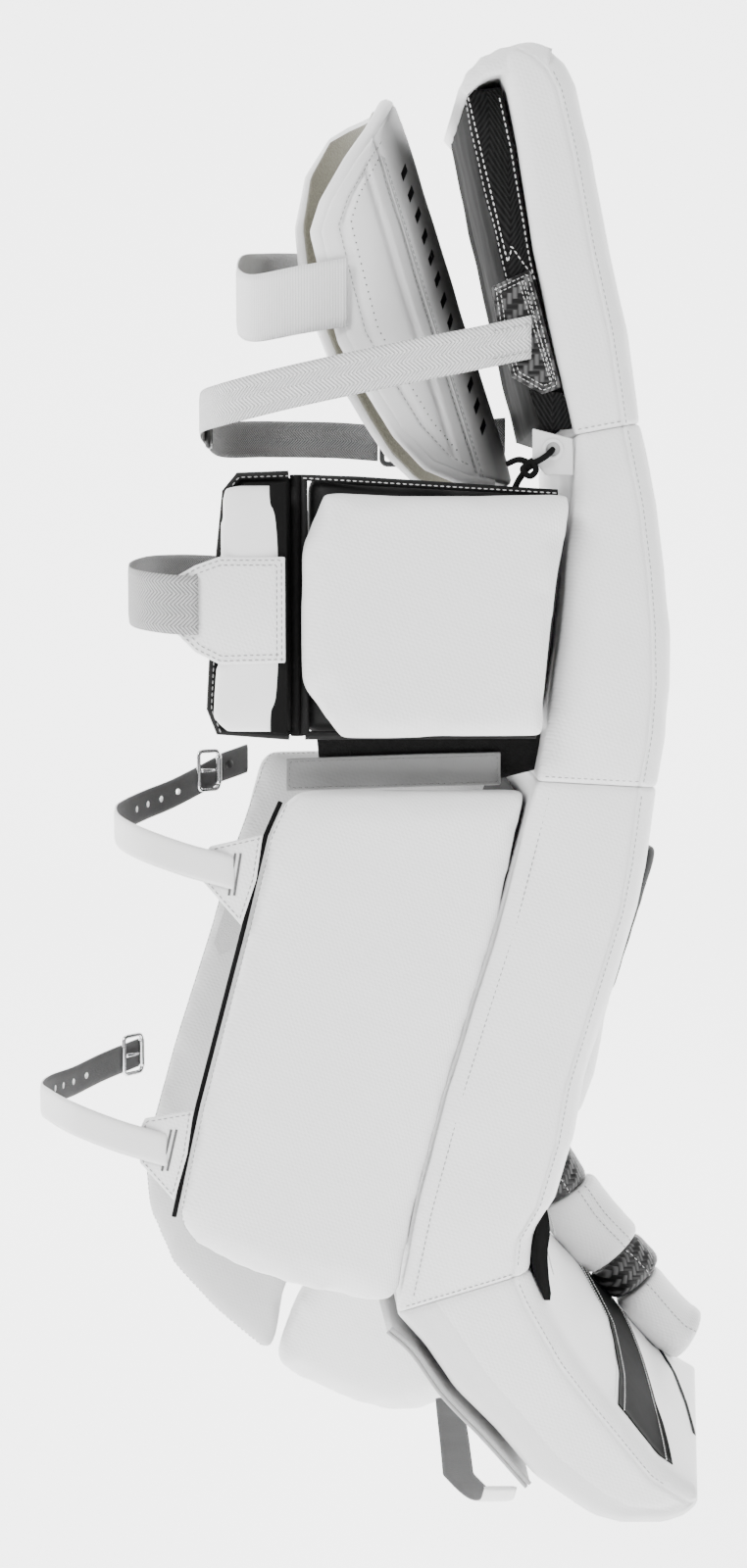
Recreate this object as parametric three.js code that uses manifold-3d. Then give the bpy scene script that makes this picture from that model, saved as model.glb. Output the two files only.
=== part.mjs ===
// Ice hockey goalie leg pad with its knee landing, calf wings, straps and thigh guard.
// Millimetres, +Z up. +X is the front face, -Y the inner (medial) side. The origin is
// the centre of the wearer's knee.
import * as THREE from 'three';
import { mergeVertices } from 'three/addons/utils/BufferGeometryUtils.js';
import Module from 'manifold-3d';

const wasm = await Module();
wasm.setup();

// Driving dimensions
const faceLength = 914;
const padWidth = 280;
const panelThickness = 3;
const faceThickness = 3;
const clearance = 0.3;
const coverGap = 0.6;
const acrossSteps = 5;
const breakRelief = 5.6;
const wingThickness = 23;
const wingSwell = 10;
const calfLinerThickness = 12;
const landingCoreThickness = 34;
const landingPadThickness = 19;
const kneeWingThickness = 28;
const pillowThickness = 12;
const tabThickness = 2.5;
const leatherThickness = 2.4;
const leatherWidth = 20;
const webThickness = 1.6;
const webWidth = 25;
const kneeWebWidth = 34;
const elasticThickness = 2.2;
const elasticWidth = 40;
const rollThickness = 42;
const bootRollThickness = 52;
const toeRollThickness = 42;
const rollWidth = 42;
const rollGap = 1.6;
const guardInset = 40;
const guardCorner = 80;
const guardDepth = 156;
const guardLength = 330;
const capHalfWidth = 46;
const guardShellThickness = 9;
const guardLinerThickness = 6;
const bootPlateThickness = 5;
const buckleWire = 3;
const laceDiameter = 4;
const stitchGap = 1;

// The heights below are those of the standard senior length and stretch with the pad.
const seniorLength = 914;
const up = (z) => (z * faceLength) / seniorLength;
const outline = (points) => points.map(([x, z]) => new THREE.Vector2(x, up(z)));

const side = padWidth / 2;
const coreSide = side - panelThickness - clearance;
const guardHalfWidth = side - guardInset;

const colours = {
  white: { color: 0xf1f1f1, roughness: 0.55, metalness: 0 },
  grey: { color: 0xc9c9c9, roughness: 0.7, metalness: 0 },
  black: { color: 0x161616, roughness: 0.7, metalness: 0 },
  carbon: { color: 0x2a2a2c, roughness: 0.4, metalness: 0 },
  foam: { color: 0x8f8f8f, roughness: 0.9, metalness: 0 },
  leather: { color: 0xe6e6e6, roughness: 0.6, metalness: 0 },
  webbing: { color: 0xdcdcdc, roughness: 0.85, metalness: 0 },
  liner: { color: 0x7d7a68, roughness: 0.95, metalness: 0 },
  plastic: { color: 0x1b1b1b, roughness: 0.45, metalness: 0 },
  chrome: { color: 0xd0d0d4, roughness: 0.15, metalness: 1 },
};

const pad = new THREE.Group();

function add(name, geometry, finish) {
  const material = new THREE.MeshStandardMaterial(colours[finish]);
  const mesh = new THREE.Mesh(geometry, material);
  mesh.name = name;
  pad.add(mesh);
  return mesh;
}

// An outline in X and Z, drawn out along Y from low to high.
function prism(points, low, high, steps = 1) {
  const shape = points instanceof THREE.Shape ? points : new THREE.Shape(points);
  const settings = { depth: high - low, steps, bevelEnabled: false };
  const geometry = new THREE.ExtrudeGeometry(shape, settings);
  geometry.rotateX(Math.PI / 2);
  geometry.translate(0, high, 0);
  return geometry;
}

// Moves every vertex by a rule, which keeps the body closed.
function bend(geometry, rule) {
  const place = geometry.attributes.position;
  const point = new THREE.Vector3();
  for (let i = 0; i < place.count; i += 1) {
    point.fromBufferAttribute(place, i);
    rule(point);
    place.setXYZ(i, point.x, point.y, point.z);
  }
  geometry.computeVertexNormals();
  return geometry;
}

// A line moved sideways: positive is to the left of its direction.
function offsetLine(points, distance) {
  return points.map((point, i) => {
    const before = points[Math.max(i - 1, 0)];
    const after = points[Math.min(i + 1, points.length - 1)];
    const first = point.clone().sub(before);
    const second = after.clone().sub(point);
    if (i === 0) {
      first.copy(second);
    }
    if (i === points.length - 1) {
      second.copy(first);
    }
    first.normalize();
    second.normalize();
    const normal = new THREE.Vector2(-first.y - second.y, first.x + second.x).normalize();
    const cosine = normal.dot(new THREE.Vector2(-first.y, first.x));
    return point.clone().addScaledVector(normal, distance / Math.max(cosine, 0.6));
  });
}

// The curve a strap follows, through points whose heights are for the drawn length.
function strapCurve(points) {
  return new THREE.CatmullRomCurve3(points.map(([x, y, z]) => new THREE.Vector3(x, y, up(z))));
}

// A strap: its curve seen from above, with a thickness, extruded by its width in Z. Each
// stretch of it is then lifted to the curve's own height.
function strap(points, thickness, width, steps) {
  const middle = strapCurve(points).getSpacedPoints(steps);
  const flat = middle.map((p) => new THREE.Vector2(p.x, p.y));
  const left = offsetLine(flat, thickness / 2);
  const right = offsetLine(flat, -thickness / 2);
  const shape = new THREE.Shape([...left, ...right.reverse()]);
  const geometry = new THREE.ExtrudeGeometry(shape, { depth: width, bevelEnabled: false });
  geometry.translate(0, 0, -width / 2);
  return bend(geometry, (p) => {
    const distances = middle.map((m) => Math.hypot(m.x - p.x, m.y - p.y));
    p.z += middle[distances.indexOf(Math.min(...distances))].z;
  });
}

function toSolid(geometry) {
  const bare = geometry.clone();
  bare.deleteAttribute('normal');
  bare.deleteAttribute('uv');
  const merged = mergeVertices(bare, 1e-3);
  const mesh = new wasm.Mesh({
    numProp: 3,
    vertProperties: new Float32Array(merged.attributes.position.array),
    triVerts: new Uint32Array(merged.index.array),
  });
  return new wasm.Manifold(mesh);
}

function toGeometry(solid) {
  const mesh = solid.getMesh();
  const geometry = new THREE.BufferGeometry();
  geometry.setAttribute('position', new THREE.BufferAttribute(mesh.vertProperties, 3));
  geometry.setIndex(new THREE.BufferAttribute(mesh.triVerts, 1));
  geometry.computeVertexNormals();
  return geometry;
}

function circleShape(radius, sides) {
  const points = [];
  for (let i = 0; i < sides; i += 1) {
    const angle = (i / sides) * Math.PI * 2;
    points.push(new THREE.Vector2(Math.cos(angle) * radius, Math.sin(angle) * radius));
  }
  return points;
}

function roundTube(points, radius, sides, steps) {
  const path = new THREE.CatmullRomCurve3(points, false, 'centripetal');
  const shape = new THREE.Shape(circleShape(radius, sides));
  return new THREE.ExtrudeGeometry(shape, { steps, bevelEnabled: false, extrudePath: path });
}

// Side outlines of the four foam sections, top to bottom
const breaks = {
  upper: { front: [145, 107], back: [107, 100] },
  lower: { front: [157, -107], back: [86, -103] },
  boot: { front: [84, -402], back: [3, -427] },
};
const thighHeight = 215;
const thighFront = outline([[105, 299], [114, 264], [125, 208], [136, 161], breaks.upper.front]);
const thighBack = outline([[66, 299], [73, 264], [82, 208], [94, 155], breaks.upper.back]);
const kneeFront = outline([
  breaks.upper.front, [155, 60], [160, 22], [163, -12], [164, -46], [162, -75], breaks.lower.front,
]);
const kneeBack = outline([breaks.upper.back, [107, 65], [103, 34], [99, -12], [94, -55], breaks.lower.back]);
const shinFront = outline([
  breaks.lower.front, [151, -154], [146, -181], [132, -228], [115, -285],
  [109, -320], [98, -358], [86, -378], breaks.boot.front,
]);
const shinBack = outline([breaks.lower.back, [64, -192], [35, -288], [15, -366], breaks.boot.back]);
const bootFront = outline([
  breaks.boot.front, [90, -416], [110, -452], [127, -475], [143, -495], [162, -520], [187, -538],
]);
const bootUnder = outline([
  [187, -546], [180, -555], [166, -560], [140, -560], [124, -555],
  [108, -544], [88, -530], [63, -500], [38, -473], [19, -446], breaks.boot.back,
]);

// Lowers or raises one end of a line, to open a wedge at a break.
function lift(points, index, amount) {
  const moved = points.map((p) => p.clone());
  const at = index < 0 ? moved.length + index : index;
  moved[at].y += amount;
  return moved;
}

// The thigh section stands taller towards its outer side.
const riseAtTop = 30;
const upperBreakZ = up(breaks.upper.front[1]);
function rise(point) {
  const outward = (point.y + side) / padWidth;
  const above = Math.max(0, point.z - upperBreakZ);
  point.z += (above / up(thighHeight)) * riseAtTop * outward;
}

// One foam section: core, face and two edge panels.
function section(name, front, back, rule) {
  const shaped = rule ? (geometry) => bend(geometry, rule) : (geometry) => geometry;
  const whole = [...front, ...back.slice().reverse()];
  add(`${name}_medial_panel`, shaped(prism(whole, -side, -side + panelThickness)), 'white');
  add(`${name}_lateral_panel`, shaped(prism(whole, side - panelThickness, side)), 'white');
  const skin = offsetLine(front, -faceThickness);
  const face = [...front, ...skin.slice().reverse()];
  add(`${name}_face`, shaped(prism(face, -coreSide, coreSide, acrossSteps)), 'white');
  const inside = offsetLine(front, -faceThickness - coverGap);
  const core = [...inside, ...back.slice().reverse()];
  add(`${name}_core`, shaped(prism(core, -coreSide, coreSide, acrossSteps)), 'foam');
}

section('thigh', lift(thighFront, -1, clearance), lift(thighBack, -1, breakRelief), rise);
section('knee', lift(kneeFront, -1, clearance), lift(kneeBack, -1, breakRelief));
section('shin', shinFront, shinBack);

// The boot grows longer and turns forward towards its outer side.
const flareForward = 0.4;
const flareDown = 0.2;
const hingeX = breaks.boot.front[0];
const hingeZ = up(breaks.boot.front[1]);
function flare(point) {
  const outward = (point.y + side) / padWidth;
  const below = Math.max(0, hingeZ - point.z);
  const share = Math.min(1, below / up(60));
  point.x += (point.x - hingeX) * flareForward * outward * share;
  point.z -= below * flareDown * outward;
}
// The boot's top opens a wedge under the shin that is widest at the back.
const heelX = breaks.boot.back[0];
const bootHeel = new THREE.Vector2(heelX, up(breaks.boot.back[1]) - clearance - breakRelief);
const bootFace = lift(bootFront, 0, -clearance);
const bootRim = bootUnder.slice(0, -1);

function bootSection() {
  const whole = [...bootFace, ...bootRim, bootHeel];
  add('boot_medial_panel', bend(prism(whole, -side, -side + panelThickness), flare), 'white');
  add('boot_lateral_panel', bend(prism(whole, side - panelThickness, side), flare), 'white');
  const skin = offsetLine(bootFace, -faceThickness);
  const face = [...bootFace, ...skin.slice().reverse()];
  add('boot_face', bend(prism(face, -coreSide, coreSide, acrossSteps), flare), 'white');
  const inside = offsetLine(bootFace, -faceThickness - coverGap);
  inside[inside.length - 1].y -= faceThickness / 2;
  const core = [...inside, ...offsetLine(bootRim, -clearance), bootHeel];
  add('boot_core', bend(prism(core, -coreSide, coreSide, acrossSteps), flare), 'foam');
}
bootSection();

// Thigh: top cap, padded back liner and the strap anchors
const topCap = outline([
  [40, 300], [47, 309], [57, 317], [78, 322], [91, 320], [101, 310], [104.5, 299.4], [66, 299.4],
]);
add('top_cap', bend(prism(topCap, -side, side, acrossSteps), rise), 'white');

const backPadInset = 12;
const backPadSide = side - backPadInset;
const backPadFront = offsetLine(lift(thighBack, -1, breakRelief + 1), -coverGap);
backPadFront[0].y -= 1;
const backPadRear = outline([[90, 112], [80, 150], [71, 183], [52, 257], [42, 297]]);
const backPad = prism([...backPadFront, ...backPadRear], -backPadSide, backPadSide, acrossSteps);
add('thigh_back_pad', bend(backPad, rise), 'black');

const anchorOuter = -backPadSide - clearance;
const anchor = outline([[58, 186], [80, 196], [93, 150], [99, 128], [88, 124], [70, 134]]);
add('thigh_strap_anchor', prism(anchor, anchorOuter - tabThickness, anchorOuter), 'carbon');

// Knee: cradle, landing and lace tab. The cradle ends just inside the landing.
const landingStandoff = 6;
const landingBack = -side - landingStandoff;
const landingInner = landingBack + landingCoreThickness;
const cradleSide = -landingInner - 2 * stitchGap;
const cradle = [
  ...offsetLine(outline([[107, 70], [103, 34], [99, -12], [94, -55], [90.5, -70]]), -clearance),
  ...outline([[60, -72], [52, -40], [54, 40], [62, 72]]),
];
add('knee_cradle', prism(cradle, -cradleSide, cradleSide), 'black');

const landingCore = outline([[-55, -79], [-55, 79], [98, 70], [100, 30], [95, -12], [90, -55], [86, -79]]);
add('knee_landing_core', prism(landingCore, landingBack, landingInner), 'black');

const landingPad = outline([
  [-54, 33], [-54, -45], [-41, -65], [-31, -77], [88, -77], [103, 64], [99, 67], [-40, 67],
]);
const landingOuter = landingBack - clearance - landingPadThickness;
add('knee_landing_pad', prism(landingPad, landingOuter, landingBack - clearance), 'white');

const laceHole = new THREE.Vector2(94, up(92));
const laceHoleRadius = 5;
function laceTab() {
  const tab = new THREE.Shape(outline([[82, 104], [105.5, 98], [106, 77], [90, 77], [82, 86]]));
  tab.holes.push(new THREE.Path(circleShape(laceHoleRadius, 12).map((p) => p.add(laceHole))));
  const outer = -coreSide + stitchGap;
  add('lace_tab', prism(tab, outer, outer + tabThickness), 'grey');
}
laceTab();

// Inner knee wing with its pillow and strap tab
const kneeWing = outline([
  [-57, -79], [-57, 80], [-91, 79], [-100, 68], [-106, 10], [-110, -60], [-104, -76],
]);
add('knee_wing', prism(kneeWing, landingBack, landingBack + kneeWingThickness), 'black');

const pillow = outline([[-60, 72], [-94, 72], [-100, 67], [-104, -12], [-106, -66], [-98, -74], [-60, -74]]);
const pillowOuter = landingBack - clearance - pillowThickness;
add('knee_wing_pillow', prism(pillow, pillowOuter, landingBack - clearance), 'white');

const kneeTab = outline([[-62, -32], [-62, 29], [-100, 29], [-126, 17], [-126, -14], [-100, -33]]);
const kneeTabOuter = pillowOuter - clearance - tabThickness;
add('knee_strap_tab', prism(kneeTab, kneeTabOuter, pillowOuter - clearance), 'white');

const kneeStrapStart = kneeTabOuter - clearance - webThickness / 2;
const kneeWeb = [
  [-112, kneeStrapStart, 1], [-131, kneeStrapStart - 1, 2], [-151, kneeStrapStart + 22, 5],
  [-162, -side / 2, 9], [-164, 0, 13], [-160, side / 2, 16], [-140, side - 34, 17], [-114, side - 16, 16],
];
add('knee_strap', strap(kneeWeb, webThickness, kneeWebWidth, 26), 'webbing');

// Outer knee wing
const outerWingIn = side - wingThickness;
const outerKneeWing = outline([
  [105, 70], [101, 34], [97, -12], [92, -55], [89, -72],
  [-84, -74], [-98, -60], [-102, 0], [-96, 58], [-82, 72],
]);
add('outer_knee_wing', prism(outerKneeWing, outerWingIn, side), 'grey');

// Shin: calf liner and inner knee strap
const linerInset = 4;
const linerSide = side - wingThickness - linerInset;
const calfLine = outline([[84, -110], [64, -192], [35, -288], [15, -366], [7, -402]]);
const linerFront = offsetLine(calfLine, -clearance);
const linerRear = offsetLine(linerFront, -calfLinerThickness).reverse();
add('calf_liner', prism([...linerFront, ...linerRear], -linerSide, linerSide), 'black');

const innerStrap = outline([[66, -108], [66, -88], [-64, -92], [-64, -112]]);
const innerStrapSide = -linerSide + linerInset;
add('inner_knee_strap', prism(innerStrap, innerStrapSide, innerStrapSide + tabThickness), 'grey');

// Calf wings
const seamTop = breaks.lower.back;
const seamLow = breaks.boot.back;
const seamSlope = (seamTop[0] - seamLow[0]) / up(seamTop[1] - seamLow[1]);
const seamX = (z) => seamTop[0] + (z - up(seamTop[1])) * seamSlope;
// A calf wing swells away from its seam, on its outer face only, over this distance.
const wingRise = 60;
const wingLap = 0.5;
function swell(direction) {
  return (point) => {
    const away = Math.max(0, seamX(point.z) - point.x);
    if (Math.abs(point.y) > side) {
      point.y += direction * wingSwell * Math.min(1, away / wingRise);
    }
  };
}
const wingSeam = offsetLine(shinBack, -stitchGap).reverse();
const medialWing = [
  ...outline([
    [-55, -104], [-67, -114], [-76, -134], [-89, -188], [-118, -299], [-133, -368],
    [-124, -385], [-94, -402], [-59, -414], [-12, -426],
  ]),
  ...wingSeam,
];
const wingInner = -side + wingThickness;
add('medial_wing', bend(prism(medialWing, -side - wingLap, wingInner), swell(-1)), 'white');

const lateralWing = [
  ...outline([
    [-54, -101], [-88, -102], [-95, -113], [-108, -152], [-119, -181], [-133, -231],
    [-161, -319], [-179, -385], [-183, -407], [-180, -442], [-163, -484], [-131, -521], [-89, -556],
    [-75, -509], [-56, -470], [-32, -436], [-2, -412], [7, -400],
  ]),
  ...wingSeam.slice(1),
];
add('lateral_wing', bend(prism(lateralWing, side - wingThickness, side + wingLap), swell(1)), 'grey');

const ankleWing = outline([
  [-70, -509], [-86, -557], [-68, -571], [-26, -590], [-1, -597], [25, -596], [39, -590],
  [76, -566], [48, -531], [22, -505], [0, -476], [-20, -446], [-47, -473],
]);
add('ankle_wing', prism(ankleWing, side - wingThickness, side + wingSwell), 'white');

// Strap tabs on the calf wing, with a slot for each strap
const wingOuter = -side - wingLap - wingSwell;
const slotPlay = 2.5;
const slotWidth = leatherThickness + 2 * clearance;
// The slot is as tall as the strap with some play, and leans back by so much per mm.
function slottedTab(name, points, [x, z], lean) {
  const half = leatherWidth / 2 + slotPlay;
  const corner = (acrossWay, upWay) => new THREE.Vector2(
    x + (acrossWay * slotWidth) / 2 + upWay * half * lean,
    up(z) + upWay * half,
  );
  const slot = [corner(-1, 1), corner(1, 1), corner(1, -1), corner(-1, -1)];
  const shape = new THREE.Shape(outline(points));
  shape.holes.push(new THREE.Path(slot));
  const high = wingOuter - clearance;
  add(name, prism(shape, high - tabThickness, high), 'white');
}
slottedTab(
  'upper_strap_tab',
  [[-76, -133], [-107, -140], [-113, -159], [-89, -187], [-80, -160]],
  [-92.5, -156.5],
  0.16,
);
slottedTab(
  'lower_strap_tab',
  [[-118, -298], [-147, -303], [-152, -314], [-150, -330], [-130, -353], [-122, -325]],
  [-132.5, -322],
  0.23,
);

// Leather calf straps: from the slot round behind the calf to the roller buckle
const wingInnerFar = side - wingThickness;
const strapStart = wingOuter - clearance - tabThickness - clearance - leatherThickness / 2;
const upperStrapPath = [
  [-94, strapStart, -155], [-120, strapStart - 1, -148], [-147, strapStart + 10, -140],
  [-164, -side + 24, -136], [-172, -side / 2, -135], [-174, -10, -137], [-165, side / 4, -135],
  [-148, side / 2, -130], [-119, wingInnerFar - 22, -116],
];
add('upper_calf_strap', strap(upperStrapPath, leatherThickness, leatherWidth, 30), 'leather');

const lowerStrapPath = [
  [-136, strapStart, -322], [-165, strapStart - 1, -312], [-192, strapStart + 12, -305],
  [-210, -side + 28, -305], [-221, -side / 2, -311], [-224, -15, -319], [-216, side / 4, -325],
  [-200, side / 2, -323], [-176, wingInnerFar - 19, -318],
];
add('lower_calf_strap', strap(lowerStrapPath, leatherThickness, leatherWidth, 30), 'leather');

// Roller buckles, lying on the inner face of each strap's far end
const buckleLength = 20;
const buckleHeight = leatherWidth + 10;
const ringCorner = 3;
function ringShape(length, height, wire) {
  const corner = ringCorner;
  const corners = (a, b) => [
    [-a, -b + corner], [-a + corner, -b], [a - corner, -b], [a, -b + corner],
    [a, b - corner], [a - corner, b], [-a + corner, b], [-a, b - corner],
  ].map(([x, y]) => new THREE.Vector2(x, y));
  const shape = new THREE.Shape(corners(length / 2, height / 2));
  shape.holes.push(new THREE.Path(corners(length / 2 - wire, height / 2 - wire)));
  return shape;
}

// A flat plate whose outline is drawn along the strap (x) and in height (y), standing
// on the strap's far end.
function onStrap(shape, thickness, middle, station, away) {
  const geometry = new THREE.ExtrudeGeometry(shape, { depth: thickness, bevelEnabled: false });
  geometry.rotateX(Math.PI / 2);
  geometry.translate(0, -away, 0);
  geometry.rotateZ(station.angle);
  geometry.translate(middle[0], middle[1], station.at.z);
  return geometry;
}
// Where a strap is at a share of its length, and which way it runs there.
function strapStation(path, share) {
  const curve = strapCurve(path);
  const tangent = curve.getTangentAt(share);
  return { at: curve.getPointAt(share), angle: Math.atan2(tangent.y, tangent.x) };
}
function along(station, distance) {
  const { at, angle } = station;
  return [at.x + Math.cos(angle) * distance, at.y + Math.sin(angle) * distance];
}
const buckleAway = leatherThickness / 2 + 2 * clearance;
const prongHalf = 1.3;
const prongThickness = 2;
const prongPlay = 1;
const buckleSetback = 2;

function buckle(name, path) {
  const station = strapStation(path, 1);
  const middle = along(station, -buckleLength / 2 - buckleSetback);
  const frame = ringShape(buckleLength, buckleHeight, buckleWire);
  add(`${name}_buckle_frame`, onStrap(frame, buckleWire, middle, station, buckleAway), 'chrome');
  const prongReach = buckleLength / 2 - buckleWire - prongPlay;
  const prong = new THREE.Shape([
    new THREE.Vector2(-prongReach, -prongHalf), new THREE.Vector2(prongReach, -prongHalf),
    new THREE.Vector2(prongReach, prongHalf), new THREE.Vector2(-prongReach, prongHalf),
  ]);
  add(`${name}_buckle_prong`, onStrap(prong, prongThickness, middle, station, buckleAway), 'chrome');
}
buckle('upper', upperStrapPath);
buckle('lower', lowerStrapPath);

// The riveted leather tab that joins the upper buckle to the outer wing
function buckleTab() {
  const station = strapStation(upperStrapPath, 1);
  const heights = [-115, -112, -110];
  const start = along(station, stitchGap);
  const middle = along(station, 14);
  const finish = [start[0] + 17, wingInnerFar - leatherThickness];
  const points = [start, middle, finish].map(([x, y], i) => [x, y, heights[i]]);
  add('upper_buckle_tab', strap(points, leatherThickness, leatherWidth, 6), 'leather');
}
buckleTab();

// Outer roll along the front edge, in sewn segments
const rollMiddle = side - rollWidth / 2;
function rollLine(points, thickness, shaper) {
  const flat = points.map((p) => {
    const point = new THREE.Vector3(p.x, rollMiddle, p.y);
    shaper(point);
    return new THREE.Vector2(point.x, point.z);
  });
  return offsetLine(flat, thickness / 2 + rollGap);
}
const still = () => {};
function rollSegment(name, line, thickness, finish) {
  const path = new THREE.CatmullRomCurve3(line.map((p) => new THREE.Vector3(p.x, rollMiddle, p.y)));
  const wide = rollWidth / 2 - clearance;
  const proud = thickness / 2;
  const oval = circleShape(1, 12).map((p) => new THREE.Vector2(p.x * wide, p.y * proud));
  const shape = new THREE.Shape(oval);
  const settings = { steps: 5, bevelEnabled: false, extrudePath: path };
  add(name, new THREE.ExtrudeGeometry(shape, settings), finish);
}
const shinRollFace = outline([[149, -166], [146, -181], [132, -228], [115, -285], [109, -320], [98, -355]]);
const shinRoll = rollLine(shinRollFace, rollThickness, still);
// Part of a line, between two shares of its length.
function split(line, from, to) {
  const curve = new THREE.SplineCurve(line);
  const points = [];
  for (let i = 0; i <= 4; i += 1) {
    points.push(curve.getPointAt(from + ((to - from) * i) / 4));
  }
  return points;
}
rollSegment('roll_shin_black', split(shinRoll, 0, 0.54), rollThickness, 'black');
rollSegment('roll_shin_white', split(shinRoll, 0.545, 1), rollThickness, 'white');

const bootRollFace = outline([
  [85, -408], [90, -416], [110, -452], [127, -475], [143, -495], [162, -520], [174, -529],
]);
const bandThickness = bootRollThickness - 4;
const bootRoll = rollLine(bootRollFace, bootRollThickness, flare);
const bootBandRoll = rollLine(bootRollFace, bandThickness, flare);
const toeRoll = rollLine(bootRollFace, toeRollThickness, flare);
rollSegment('roll_top_band', split(bootBandRoll, 0, 0.2), bandThickness, 'carbon');
rollSegment('roll_boot_white', split(bootRoll, 0.205, 0.53), bootRollThickness, 'white');
rollSegment('roll_boot_band', split(bootBandRoll, 0.54, 0.68), bandThickness, 'carbon');
rollSegment('roll_toe_white', split(toeRoll, 0.69, 1), toeRollThickness, 'white');

// Boot: plate under the opening and the boot strap
const plateEdge = outline([[1, -435], [16, -449], [35, -476], [60, -503], [86, -533]]);
const plateUpper = offsetLine(plateEdge, -stitchGap);
const plateLower = offsetLine(plateEdge, -stitchGap - bootPlateThickness).reverse();
const plateFar = side - wingThickness - 12;
add('boot_plate', bend(prism([...plateUpper, ...plateLower], -side + stitchGap, plateFar), flare), 'grey');

// The boot strap hangs in the plane across the pad: drawn in Y and Z, wide along X.
function bootStrap() {
  const low = up(-560);
  const points = [
    [-side + 4, up(-538)], [-side + 14, up(-550)], [-side + 50, low], [0, low - 6],
    [side / 2, low - 14], [side - wingThickness - 16, low - 16],
  ];
  const curve = new THREE.SplineCurve(points.map(([y, z]) => new THREE.Vector2(y, z)));
  const middle = curve.getSpacedPoints(20);
  const shape = new THREE.Shape([
    ...offsetLine(middle, leatherThickness / 2),
    ...offsetLine(middle, -leatherThickness / 2).reverse(),
  ]);
  const geometry = new THREE.ExtrudeGeometry(shape, { depth: leatherWidth, bevelEnabled: false });
  geometry.applyMatrix4(new THREE.Matrix4().set(0, 0, 1, 0, 1, 0, 0, 0, 0, 1, 0, 0, 0, 0, 0, 1));
  const strapBackX = 34;
  const startForward = 24;
  const swing = 80;
  geometry.translate(strapBackX, 0, 0);
  return bend(geometry, (p) => {
    const share = (swing - side - p.y) / swing;
    p.x += startForward * Math.min(1, Math.max(0, share));
  });
}
add('boot_strap', bootStrap(), 'leather');

// Thigh guard: a U-shaped shell that opens towards the wearer, with a soft lining
const guardFoot = [76, 80];
const guardLean = Math.atan2(67, 211);
const guardBelow = 40;
function guardShell(inset, reach) {
  const half = guardHalfWidth - inset;
  const corner = guardCorner - inset;
  const turns = 8;
  const points = [new THREE.Vector2(-guardDepth - reach, -half)];
  for (const quarter of [-1, 0]) {
    const middle = quarter < 0 ? corner - half : half - corner;
    for (let i = 0; i <= turns; i += 1) {
      const angle = (quarter + i / turns) * (Math.PI / 2);
      const x = corner * Math.cos(angle) - inset - corner;
      points.push(new THREE.Vector2(x, corner * Math.sin(angle) + middle));
    }
  }
  points.push(new THREE.Vector2(-guardDepth - reach, half));
  const settings = { depth: up(guardLength), bevelEnabled: false };
  const geometry = new THREE.ExtrudeGeometry(new THREE.Shape(points), settings);
  geometry.translate(0, 0, -guardBelow);
  geometry.rotateY(-guardLean);
  geometry.translate(guardFoot[0], 0, up(guardFoot[1]));
  return toSolid(geometry);
}
const guardNear = outline([
  [79, 76], [47, 79], [24, 87], [6, 105], [-9, 128], [-28, 160], [-35, 186], [-44, 223],
  [-38, 240], [-22, 266], [-8, 285], [4, 306], [20, 306],
]);
const guardFar = outline([
  [79, 76], [47, 79], [22, 87], [2, 105], [-14, 128], [-34, 160], [-46, 190], [-58, 230],
  [-60, 256], [-52, 290], [-34, 315], [-8, 325], [12, 328],
]);
// The guard's rim runs from the near outline to the taller far one.
function between(nearLine, farLine, low, high) {
  return bend(prism(nearLine, low, high), (p) => {
    if (p.y < (low + high) / 2) {
      return;
    }
    const distances = nearLine.map((n) => Math.hypot(n.x - p.x, n.y - p.z));
    const match = farLine[distances.indexOf(Math.min(...distances))];
    p.set(match.x, p.y, match.y);
  });
}
const guardSpan = guardHalfWidth + 5;
const guardPrism = toSolid(between(guardNear, guardFar, -guardSpan, guardSpan));
// The hollows run on past the outer solid at the open side.
const openReach = 40;
const outerShell = guardShell(0, 0)
  .subtract(guardShell(guardShellThickness, openReach))
  .intersect(guardPrism);
const liningInset = guardShellThickness + clearance;
const lining = guardShell(liningInset, 0)
  .subtract(guardShell(liningInset + guardLinerThickness, openReach))
  .intersect(guardPrism);
function slab(low, high) {
  return toSolid(prism(outline([[-200, 0], [200, 0], [200, 400], [-200, 400]]), low, high));
}
const flapEdge = capHalfWidth + clearance;
add('thigh_guard_cap', toGeometry(outerShell.intersect(slab(-capHalfWidth, capHalfWidth))), 'white');
add('thigh_guard_near_flap', toGeometry(outerShell.intersect(slab(-guardSpan, -flapEdge))), 'white');
add('thigh_guard_far_flap', toGeometry(outerShell.intersect(slab(flapEdge, guardSpan))), 'white');
add('thigh_guard_liner', toGeometry(lining), 'liner');

// Elastic strap between the guard's flaps
const elasticY = guardHalfWidth + 2 * clearance + elasticThickness / 2;
const elasticFree = elasticY + 2.4;
const elasticPath = [
  [-26, -elasticY, 187], [-55, -elasticY - 2, 182], [-82, -elasticY + 12, 179], [-94, -elasticY / 2, 187],
  [-98, 0, 200], [-97, elasticY / 2, 212], [-88, elasticY - 10, 219], [-70, elasticFree, 221],
  [-38, elasticFree, 220],
];
add('elastic_strap', strap(elasticPath, elasticThickness, elasticWidth, 30), 'webbing');

// Nylon thigh strap with its slider and buckle
const webStart = anchorOuter - tabThickness - clearance - webThickness / 2;
const webPath = [
  [81, webStart, 157], [45, webStart - 6, 149], [0, -side - 1, 140], [-57, -side, 128],
  [-100, -side + 18, 119], [-117, -side / 2, 118], [-119, 0, 115], [-114, side / 2, 112],
  [-84, side - 34, 114], [-40, side - 24, 114], [-8, side - 22, 112],
];
add('thigh_web_strap', strap(webPath, webThickness, webWidth, 36), 'webbing');

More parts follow.
